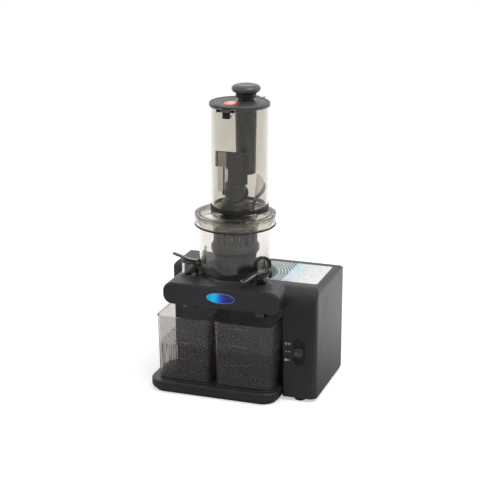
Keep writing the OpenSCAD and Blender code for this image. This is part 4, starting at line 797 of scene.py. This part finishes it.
# Hopper in one moulding: a closed run of rings, each with its own centre, radius and height,
# from the skirt over the flange, up the chute, down inside it, through the throat and collar.
def makeHopper():
    s = hopper
    yb, yc, w = bowlAxis[1], chuteAxis[1], s["wall"]
    t = fullTurn(160)
    skirt = roundedLine([(s["skirt"], s["low"], 0.8), (s["skirt"], 281.6, 0.6), (s["bead"], 282.4, 0.6),
                         (s["bead"], 285.2, 0.7), (s["skirt"], s["top"], 1.2),
                         (58, s["top"])], False, 5, 0.8)
    rings = [(yb, r, z) for r, z in skirt]
    rings += [(yb + (yc - yb) * k, 58 + (47.6 - 58) * k, s["top"]) for k in np.linspace(0.12, 1, 8)]
    fillet = np.linspace(0, math.pi / 2, 6)[1:]
    rings += [(yc, 47.6 - 2.1 * math.sin(a), s["top"] + 2.1 * (1 - math.cos(a))) for a in fillet]
    rings += [(yc, s["chute"], z) for z in np.linspace(292, 452, 9)]
    edge = roundedLine([(s["chute"], 453), (s["chute"], s["rim"], 1.0), (s["chute"] - w, s["rim"], 1.0),
                        (s["chute"] - w, 453)], False, 5, 0.6)
    rings += [(yc, r, z) for r, z in edge]
    rings += [(yc, s["chute"] - w, z) for z in np.linspace(450, 292, 8)]
    rings += [(yc, s["chute"] - w - 2 + 2 * math.cos(a), 289 - 2 * math.sin(a))
              for a in np.linspace(0, math.pi / 2, 5)]
    # throat: about the bowl's axis, the smaller of its own radius and the way to the chute's wall,
    # blended where the two meet
    reach = s["chute"] - w - 2.3
    d = yc - yb
    far = d * np.sin(t) + np.sqrt(reach ** 2 - (d * np.cos(t)) ** 2)
    soft = -np.log(np.exp(-far * 0.5) + np.exp(-s["throat"] * 0.5)) / 0.5
    throat, collar, foot = s["throat"], s["collar"], s["collarLow"]
    rings += [(yb, r, z) for r, z in (
        (soft, 287.0), (soft, 284.6), (throat, 282.0), (throat, foot + 0.6), (throat + 0.7, foot),
        (collar - 0.7, foot), (collar, foot + 0.7), (collar, 282.6), (collar + 1.4, 284.0), (59.6, 284.0),
        (61.3, 283.5), (61.9, 282.0), (61.9, s["low"] + 0.7), (62.5, s["low"]))]
    grid = [np.stack([bowlAxis[0] + r * np.cos(t), y + r * np.sin(t), z + 0 * t], -1) for y, r, z in rings]
    addPiece("clearHopper", [patch(np.array(grid), True)], smokeChute, "hopper_set",
             ["hopper"], 40)
    parts = []
    for side in (-1, 1):
        x = bowlAxis[0] + side * 20.2
        parts.append(placed(block(15, 10.5, 3.2, -4.7, 4.7, 0.5), (0, 1, 0), (0, 0, 1), (1, 0, 0),
                            (x, 70.8, 453.6)))
        parts.append(alongX(turned([(1.6, -4.7, 0), (3.5, -4.7, 0.5), (3.5, 4.7, 0.5), (1.6, 4.7, 0)],
                                   (0, 0), count=40), (x, hingeY, hingeZ)))
    parts.append(block(13.0, 4.6, 1.2, 445.5, 448.5, 0.5, (-22.0, -23.4)))
    addPiece("hopperLugs", parts, smokeChute, "hopper_set")
    # seals under the skirt and round the foot of the chute, as small closed beads
    low = turned([(61.9, 267.4, 0.6), (65.5, 267.2, 1.0), (65.7, 269.6, 0.8), (64.4, 270.0, 0.2),
                  (61.9, 270.0, 0.3)], bowlAxis, count=160)
    ring = turned([(45.6, 288.4, 0.3), (47.2, 288.4, 0.4), (46.9, 295.0, 0.8), (45.6, 295.6, 0.3)],
                  chuteAxis, count=128)
    addPiece("hopperSeals", [low, ring], sealRubber, "hopper_set", ["hopper_gaskets"])


feed = {"plane": -8.8, "left": -46.0, "right": 10.0, "top": 387.0, "strip": 362.5, "foot": 322.0}


# Screen in the chute's front: a smoky strip, a paler sheet below its left half and dark bars.
def makeFeed():
    s = feed

    def upright(x0, x1, z0, z1, thick, ahead=0.0, ease=0.4):
        flat = block(x1 - x0, z1 - z0, 0.9, -thick / 2, thick / 2, ease, ((x0 + x1) / 2, (z0 + z1) / 2))
        return facingFront(flat, (0, s["plane"] - ahead, 0))

    addPiece("feedStrip", [upright(s["left"], s["right"], s["strip"], s["top"], 2.2)], smokeDark,
             "hopper_set", ["feed_baffle"])
    addPiece("feedSheet", [upright(s["left"] + 3, -25.0, s["foot"], s["strip"] - 0.4, 1.2)], smokeBox,
             "hopper_set")
    bars = [upright(s["left"] + 0.6, s["right"] - 0.6, s["top"] - 1.0, s["top"] + 0.4, 2.8),
            upright(-44.4, -42.2, s["strip"], s["top"], 3.2),
            upright(-28.6, -25.6, s["strip"] - 3, s["top"], 3.2),
            upright(-34.0, -32.0, s["foot"] - 6, s["strip"], 2.4)]
    addPiece("feedPanel", [upright(-25.2, 6.6, 337.0, s["top"] - 0.6, 1.4, 2.6),
                           upright(1.6, 2.9, 346.0, s["top"] - 5, 1.0, 3.9)], augerBlack, "hopper_set")
    addPiece("feedBars", bars, trimBlack, "hopper_set")

    # evenly cut line through set points; an average with both neighbours, taken three times,
    # rounds its corners
    def softLine(points):
        at = np.linspace(0, 1, len(points))
        line = np.stack([np.interp(np.linspace(0, 1, 25), at, axis) for axis in zip(*points)], 1)
        for _ in range(3):
            line[1:-1] = (line[:-2] + 2 * line[1:-1] + line[2:]) / 4
        return line

    # guide: a curved sheet between an upper arc and a thicker lower edge
    u = softLine([(6.0, 40.0, 342.6), (10.0, 39.5, 341.5), (14.5, 38.0, 338.5), (18.5, 36.5, 333.0),
                  (21.2, 36.0, 329.8)])
    v = softLine([(11.5, 0.0, 294.0), (12.7, 1.0, 304.6), (15.0, 8.0, 311.8), (20.5, 22.0, 318.2),
                  (21.4, 36.4, 328.5)])
    sheetNormal = np.array([0.3256, -0.9455, 0.0])
    out = sheetNormal * 0.6
    sheet = np.stack([u + out, v + out, v - out, u - out], 1)
    addPiece("guideSheet", [patch(sheet, False, True, True)], smokeBox, "hopper_set",
             ["feed_guide"])
    t = fullTurn(20)
    along = np.gradient(v, axis=0)
    along /= np.linalg.norm(along, axis=1)[:, None]
    side = np.cross(along, sheetNormal)
    side /= np.linalg.norm(side, axis=1)[:, None]
    ahead = np.cross(side, along)
    edge = v[:, None] + 2.7 * np.cos(t)[None, :, None] * side[:, None]
    edge = edge + 1.5 * np.sin(t)[None, :, None] * ahead[:, None]
    addPiece("guideEdge", [patch(edge, False, True, True)], glossBlack, "hopper_set")


# Lid: rings that run from a circle about the pusher's hole to the lid's own edge; radius
# and centre change together, so the rings never cross.
def makeLid():
    t = fullTurn(144)
    hx, hy = pusherAxis
    cx, cy = chuteAxis
    hr = 18.2
    outer = roundedLine([(41.0, 462.0), (42.2, 462.0, 0.3), (42.7, 460.9, 0.3), (44.5, 460.9, 0.3),
                         (45.0, 462.0, 0.3), (48.6, 461.8, 1.3), (48.6, 456.0, 0.4), (46.6, 456.0, 0.3),
                         (46.6, 457.0, 0.2), (44.0, 457.0)], False, 5, 0.8)
    rows = [(cx, cy, r, z) for r, z in outer]
    rows += [(cx + (hx - cx) * k, cy + (hy - cy) * k, 44.0 + (hr + 0.4 - 44.0) * k, 457.0)
             for k in np.linspace(0.1, 1, 7)]
    rows += [(hx, hy, hr, 457.4), (hx, hy, hr, 461.6), (hx, hy, hr + 0.4, 462.0)]
    rows += [(hx + (cx - hx) * k, hy + (cy - hy) * k, hr + 0.4 + (41.0 - hr - 0.4) * k, 462.0)
             for k in np.linspace(0, 0.9, 7)[1:]]
    a = np.array(rows)[:, :, None]
    grid = np.stack([a[:, 0] + a[:, 2] * np.cos(t), a[:, 1] + a[:, 2] * np.sin(t), a[:, 3] + 0 * t], -1)
    # the skirt stops behind the middle, where the hinge needs room
    behind = np.clip((grid[..., 1] - 43.0) / 4.0, 0, 1)
    grid[..., 2] = np.where(grid[..., 2] < 457.0, grid[..., 2] + (456.6 - grid[..., 2]) * behind,
                            grid[..., 2])
    parts = [patch(grid, True)]
    # front lip: a bar in front of the latch, held by a cheek on either side of it
    lip = [block(31, 1.7, 0.7, 454.6, 459.4, 0.7, (-22.0, -32.6)),
           block(8.0, 9.5, 1.6, 455.0, 459.6, 1.0, (-33.4, -28.7)),
           block(8.0, 9.5, 1.6, 455.0, 459.6, 1.0, (-10.6, -28.7))]
    addPiece("lidTongue", lip, tongueGrey, "lid")
    parts.append(block(30, 13, 1.5, 457.2, 462.0, 0.9, (-18.0, 69.5)))
    parts.append(alongX(turned([(1.6, -15, 0), (3.6, -15, 0.6), (3.6, 15, 0.6), (1.6, 15, 0)], (0, 0), True,
                               count=40), (chuteAxis[0], hingeY, hingeZ)))
    addPiece("lidDisc", parts, lidSatin, "lid", ["hopper_lid"], 40)
    labelAt = (-26.0, 7.0)
    oval = ovalOutline(11.5, 17.2, 96)
    line = roundedLine([(-1.2, 461.95), (0, 461.95, 0.1), (0, 462.55, 0.3), (-1.6, 462.6)], False, 4, 0.5)
    addPiece("lidLabel", [sweep(oval, line, False, labelAt, (True, True))], labelRed, "lid",
             ["lid_label"])
    inner = ovalOutline(6.4, 9.5, 64)
    line = roundedLine([(-1.0, 462.5), (0, 462.5, 0.05), (0, 462.68, 0.08), (-1.2, 462.7)], False, 3, 0.5)
    addPiece("labelCentre", [sweep(inner, line, False, labelAt, (True, True))], labelPale, "lid")
    # latch: a bent tab, its section carried from the pivot down to the hook
    hook = [block(12.6, 3.4, 0.8, 446.0, 461.0, 0.6, (-22.0, -28.6)),
            block(12.6, 5.2, 0.9, 444.5, 448.2, 0.8, (-22.0, -29.4)),
            alongX(turned([(0.4, -6.5, 0), (2.4, -6.5, 0.4), (2.4, 6.5, 0.4), (0.4, 6.5, 0)], (0, 0), False,
                          (True, True), 32), (-22.0, -28.2, 459.4))]
    addPiece("lidCatch", hook, trimBlack, "latch", ["lid_latch"])


# Stem: a tapered tube with one shallow flat rib, facing -45 degrees; knob: one turned outline.
def makePusher():
    t = fullTurn(128)
    z = np.concatenate([[342.0, 342.6, 344], np.linspace(350, 455, 12), [459, 461.8]])
    r = 16.0 + 1.9 * (z - 342) / 120
    r[0] -= 0.7
    r[1] -= 0.15
    rib = np.exp(-((np.mod(t - math.radians(-45) + math.pi, 2 * math.pi) - math.pi) / 0.10) ** 2)
    rad = r[:, None] + 0.28 * rib[None, :] * ((z > 343) & (z < 460))[:, None]
    grid = np.stack([pusherAxis[0] + rad * np.cos(t), pusherAxis[1] + rad * np.sin(t), z[:, None] + 0 * t],
                    -1)
    neck = turned([(11.0, 461.9), (13.4, 462.0, 0.4), (12.6, 465.6, 0.6), (16.6, 466.2, 0.8),
                   (16.8, 472.8, 0.8), (12.0, 473.4, 0.4), (12.0, 476.5)], pusherAxis, False, (True, True),
                  96)
    addPiece("pusherStem", [patch(grid, False, True, True)], stemBlack, "pusher",
             ["pusher_stem"])
    addPiece("pusherNeck", [neck], trimBlack, "pusher")
    knob = roundedLine([(12.1, 477.0), (12.1, 474.4, 0.4), (18.6, 474.0, 2.0), (21.6, 475.4, 2.2),
                        (23.4, 478.6, 2.6), (23.3, 481.2, 2.8), (20.6, 484.6, 3.0), (15.8, 486.0, 2.4),
                        (9.0, 485.7, 3.0), (0.5, 485.2)], False, 6, 0.9)
    addPiece("pusherKnob", [sweep(ringOutline(112), knob, False, pusherAxis, (True, True))], knobGrey,
             "pusher", ["pusher_knob"], 60)


strainer = {"r": 34.6, "inner": 31.9, "low": 193.8, "high": 263.0, "band": 38.9, "bandLow": 225.2,
            "bandHigh": 234.4, "upperRibs": 18, "lowerRibs": 35}


# Basket: one wall section turned about the axis, its outside drawn in between the ribs.
def makeStrainer():
    s = strainer
    count = 1260
    line = roundedLine([(s["inner"] - 1.5, s["low"], 0.4), (s["r"] - 2.6, s["low"] + 0.2, 1.2),
                        (s["r"] - 1.2, s["low"] + 9, 4.0), (s["r"] - 0.4, s["bandLow"] - 5.6, 0.8),
                        (s["band"] - 0.8, s["bandLow"] - 0.6, 1.6), (s["band"], s["bandLow"] + 2, 1.4),
                        (s["band"], s["bandHigh"] - 1.0, 1.2), (s["r"] + 0.8, s["bandHigh"] + 3.6, 0.8),
                        (s["r"] + 0.3, s["high"] - 3.2, 0.3), (s["r"] + 0.9, s["high"] - 2.6, 0.3),
                        (s["r"] + 0.9, s["high"], 0.6), (s["inner"], s["high"], 0.5)], True, 5, 0.7)
    more = []
    for p, q in zip(line, np.roll(line, -1, 0)):
        n = max(1, int(abs(q[1] - p[1]) / 3.0)) if p[0] > 33.5 and q[0] > 33.5 else 1
        more += [p + (q - p) * k / n for k in range(n)]
    line = np.array(more)
    t = fullTurn(count)

    def gaps(ribs, fill):
        w = np.abs((t * ribs / (2 * math.pi)) % 1 - 0.5) * 2
        x = np.clip((w - fill) / 0.22, 0, 1)
        return x * x * (3 - 2 * x)

    z, outside = line[:, 1], line[:, 0] > 33.5
    up = band(z, s["bandHigh"] + 3.8, s["high"] - 3.8, 1.2, 1.2) * outside
    low = band(z, s["low"] + 12.0, s["bandLow"] - 4.0, 1.6, 1.2) * (line[:, 0] > 32.6)
    depth = 2.3 * up[:, None] * gaps(s["upperRibs"], 0.74)[None, :]
    depth += 0.9 * low[:, None] * gaps(s["lowerRibs"], 0.52)[None, :]
    body = sweep(ringOutline(count), line, True, bowlAxis, (False, False), -depth)
    addPiece("ribbedStrainer", [body], strainerBlack, "bowl_set", ["strainer_frame"], 45)
    dome = [(0.4, 286.2), (24.4, 286.2, 0.8), (25.0, 295.0, 3.0), (22.0, 305.0, 5.0), (13.0, 311.2, 4.0),
            (0.4, 312.2)]
    addPiece("augerDome", [turned(dome, bowlAxis, False, (True, True), 96)], augerBlack, "auger_set")


# Downpipe under each outlet tower, and a flat black ring on the deck round the tower's foot that is painted
# shadow.
def makePipe(side):
    axis = outlets[side]["axis"]
    line = [(9.5, 133, 0.5), (11.4, 133, 0.6), (11.4, 181.8, 0.2), (13.0, 182.0, 0.2), (13.0, 183.8, 0.2),
            (11.4, 184.0, 0.2), (11.4, 187, 0.2), (9.5, 187, 0.2)]
    # black ring on the deck round the tower's foot: painted shadow
    shadowRing = [(13.4, 187.0, 0.2), (16.4, 187.0, 0.2), (16.0, 188.3, 0.5), (13.6, 188.3, 0.5)]
    addPiece(side + "Pipe", [turned(line, axis, count=80), turned(shadowRing, axis, count=80)], glossBlack,
             "base", [side + "_downpipe"])


switch = {"x": 108.5, "z": 83.6, "w": 17.5, "h": 43.5, "front": -57.5}


def makeSwitch():
    s = switch
    front, middle = (0, s["front"], 0), (s["x"], s["z"])
    slot = boxOutline(s["w"], s["h"], s["w"] / 2 - 0.05, perCorner=20)
    line = roundedLine([(0.0, -3.0, 0.2), (1.9, 0.0, 0.2), (1.9, 0.45, 0.35), (-0.9, 0.3, 0.3),
                        (-1.2, -2.6, 0.3), (-1.2, -3.0, 0.1)], True, 4, 5)
    ring = sweep(slot, line, True, middle)
    floor = roundedLine([(-1.3, -3.2), (-1.0, -3.2), (-1.0, -2.7, 0.1), (-2.6, -2.7)], False, 3, 0.4)
    sole = sweep(slot, floor, False, middle, (True, True))
    addPiece("switchSurround", [facingFront(ring, front), facingFront(sole, front)], trimBlack, "base",
             ["switch_bezel"])
    slide = block(14.6, 13.0, 3.6, -2.6, 2.6, 0.9, middle)
    nub = block(11.6, 6.4, 1.8, 2.0, 6.0, 1.0, (s["x"] - 0.6, s["z"] - 2.6))
    ribs = [block(9.0, 0.8, 0.3, 5.6, 6.3, 0.25, (s["x"] - 0.6, s["z"] - 2.6 + k))
            for k in (-1.6, 0.0, 1.6)]
    post = block(4.8, 4.8, 0.8, -12.0, -2.4, 0.3, middle)
    addPiece("switchThumb", [facingFront(p, front) for p in [slide, nub, post] + ribs], sliderGrey,
             "switch", ["switch_slider"])
    # plain signs beside the slot: a ring, a bar and a bent arrow made of short bars
    tiny = roundedLine([(1.3, 0.0), (1.9, 0.0), (1.9, 0.15, 0.05), (1.3, 0.15, 0.05)], True, 2, 5)
    marks = [sweep(ringOutline(40), tiny, True, (87.0, 96.4))]
    for w, h, r, x, z in ((0.8, 3.6, 0.3, 91.0, 96.4), (0.8, 3.6, 0.3, 93.6, 96.4),
                          (4.4, 0.7, 0.3, 92.0, 83.2), (2.4, 0.7, 0.3, 87.0, 83.2),
                          (2.0, 3.8, 0.6, 86.4, 69.0), (2.6, 1.9, 0.6, 89.3, 69.0),
                          (0.8, 3.2, 0.3, 92.4, 69.0)):
        marks.append(block(w, h, r, 0.0, 0.15, 0.05, (x, z)))
    addPiece("switchSigns", [facingFront(p, front) for p in marks], markGrey, "base")


makeFrontPlate()
makeTray()
makeBox("juice")
makeBox("pulp")
makeMarks("juice", [(-96.0, -66.0, 106.5), (-93.0, -65.0, 86.5)])
makeMarks("pulp", [(-1.0, 34.0, 120.5), (-2.5, 33.0, 91.5)],
          [(-8.0 + 2.6 * k, 56.0 + 0.32 * k) for k in range(29)])
makeBowl()
for make in (makeOutlet, makeLever, makePlug):
    for side in outlets:
        make(side)
makeMouth()
makeDish()
makeFeed()
makeHopper()
makeLid()
makePusher()
makeStrainer()
for side in outlets:
    makePipe(side)
makeSwitch()

# Finishes of the nodes that stay as the CAD made them.
finishes = (
    (bodyCharcoal, "housing_shell"),
    (printedPanel, "top_panel"),
    (innerBlack, "base_plate switch_module cooling_fan gearbox_case gearbox_cover"),
    (steelDrawn, "case_screws motor_can motor_rotor motor_shaft motor_pinion gearbox_screws idler_axle"),
    (steelDrawn, "drive_shaft lever_pins auger_socket lid_pin"),
    (footRubber, "feet"),
    (trimBlack, "deck_under_cover rear_vent power_inlet"),
    (sealRubber, "shaft_seal bowl_packing"),
    (boardGreen, "control_board"),
    (copperWound, "motor_stator"),
    (gearNylon, "idler_gear drive_gear"),
    (bronzeCast, "lower_bearing upper_bearing"),
    (steelScreen, "strainer_screen"),
    (augerBlack, "auger auger_screw"),
)


# A node that stays gets its finish, and smooth shading that still breaks at real edges.
def dressNode(name, finish):
    o = nodes[name]
    if not o.data.materials:
        o.data.materials.append(finish)
    for slot in o.material_slots:
        slot.material = finish
    o.data.polygons.foreach_set("use_smooth", np.ones(len(o.data.polygons), bool))
    o.modifiers.new("weld", "WELD").merge_threshold = 0.00001
    split = o.modifiers.new("edges", "EDGE_SPLIT")
    split.split_angle = math.radians(28)


for finish, names in finishes:
    for name in names.split():
        dressNode(name, finish)
print("nodes dressed:", sum(len(names.split()) for _, names in finishes))

studio = {"ambient": 0.62, "floorTone": 0.8, "floorGlow": 0.5, "key": 16.0, "fill": 5.0, "dullTone": 0.2}


def makeFloor():
    half = 9.0
    mesh = bpy.data.meshes.new("floor")
    corners = [(-half, -half, 0), (half, -half, 0), (half, half, 0), (-half, half, 0)]
    mesh.from_pydata(corners, [], [(0, 1, 2, 3)])
    floor = bpy.data.objects.new("floor", mesh)
    bpy.context.scene.collection.objects.link(floor)
    mat, tree, shader, place = startFinish("paleFloor")
    grain = add(tree, "TexNoise", {"Scale": 60.0, "Detail": 3.0, "Vector": place})
    tone = studio["floorTone"]
    color = blendColor(tree, grain.outputs["Fac"], rgba((tone,) * 3), rgba((tone + 0.01,) * 3))
    rays = add(tree, "LightPath").outputs
    cut = add(tree, "SeparateXYZ", {0: place})
    # glossy things see the floor bright behind the juicer and dull in front of it
    area = spread(tree, cut.outputs["Y"], -0.25, 0.5)
    mirrored = math2(tree, "SUBTRACT", rays["Is Glossy Ray"], rays["Is Transmission Ray"])
    dull = math2(tree, "MULTIPLY", math2(tree, "MAXIMUM", mirrored, 0.0),
                 math2(tree, "SUBTRACT", 1.0, area))
    fill(tree, shader, {"Base Color": blendColor(tree, dull, color, rgba((studio["dullTone"],) * 3)),
                        "Roughness": 0.95, "Specular IOR Level": 0.1})
    behind = math2(tree, "MULTIPLY", rays["Is Glossy Ray"], area)
    seen = math2(tree, "MAXIMUM", rays["Is Camera Ray"], rays["Is Transmission Ray"])
    seen = math2(tree, "MAXIMUM", seen, behind)
    glow = add(tree, "Emission", {"Strength": math2(tree, "MULTIPLY", seen, studio["floorGlow"])})
    both = add(tree, "AddShader", {0: shader.outputs[0], 1: glow.outputs[0]})
    fill(tree, tree.nodes["Material Output"], {"Surface": both.outputs[0]})
    mesh.materials.append(mat)


def makeWorld():
    world = bpy.data.worlds.new("studio")
    bpy.context.scene.world = world
    world.use_nodes = True
    tree = world.node_tree
    plain = fill(tree, tree.nodes["Background"], {"Color": (1, 1, 1, 1), "Strength": studio["ambient"]})
    white = add(tree, "Background", {"Color": (1, 1, 1, 1), "Strength": 1.0})
    place = add(tree, "TexCoord")
    cut = add(tree, "SeparateXYZ", {0: place.outputs["Generated"]})
    gloss = add(tree, "Background", {"Color": (1, 1, 1, 1),
                                     "Strength": spread(tree, cut.outputs["Y"], -0.7, 0.25, 0.25, 1.0)})
    rays = add(tree, "LightPath").outputs
    first = add(tree, "MixShader", {0: rays["Is Glossy Ray"], 1: plain.outputs[0], 2: gloss.outputs[0]})
    seen = math2(tree, "MAXIMUM", rays["Is Camera Ray"], rays["Is Transmission Ray"])
    second = add(tree, "MixShader", {0: seen, 1: first.outputs[0], 2: white.outputs[0]})
    fill(tree, tree.nodes["World Output"], {"Surface": second.outputs[0]})


# Softbox aimed at the middle of the juicer.
def makeLamp(name, place, size, energy):
    lamp = bpy.data.lights.new(name, "AREA")
    lamp.shape, lamp.size, lamp.energy = "DISK", size, energy
    o = bpy.data.objects.new(name, lamp)
    bpy.context.scene.collection.objects.link(o)
    aim = np.array([0.0, 0.0, 0.22]) - np.array(place)
    o.location = place
    o.rotation_euler = (math.acos(-aim[2] / np.linalg.norm(aim)), 0,
                        math.atan2(aim[1], aim[0]) - math.pi / 2)


viewpoint = {"target": (0.0155, -0.07925, 0.240), "azimuth": 19.0, "elevation": 17.0, "distance": 2.22365,
             "rise": 0.023325, "lens": 107.25}


def makeCamera():
    v = viewpoint
    a, e = math.radians(v["azimuth"]), math.radians(v["elevation"])
    back = np.array([math.sin(a) * math.cos(e), -math.cos(a) * math.cos(e), math.sin(e)])
    up = np.array([-math.sin(a) * math.sin(e), math.cos(a) * math.sin(e), math.cos(e)])
    cam = bpy.data.cameras.new("camera")
    cam.lens, cam.sensor_width, cam.clip_end = v["lens"], 36.0, 40.0
    o = bpy.data.objects.new("camera", cam)
    bpy.context.scene.collection.objects.link(o)
    o.location = np.array(v["target"]) + back * v["distance"] + up * v["rise"]
    o.rotation_euler = (math.pi / 2 - e, 0, a)
    bpy.context.scene.camera = o


makeFloor()
makeWorld()
makeLamp("keyLamp", (0.9, -0.5, 1.9), 1.2, studio["key"])
makeLamp("fillLamp", (-1.6, -1.2, 1.0), 1.4, studio["fill"])
makeCamera()
bpy.context.scene.view_settings.view_transform = "Standard"
print("studio ready")
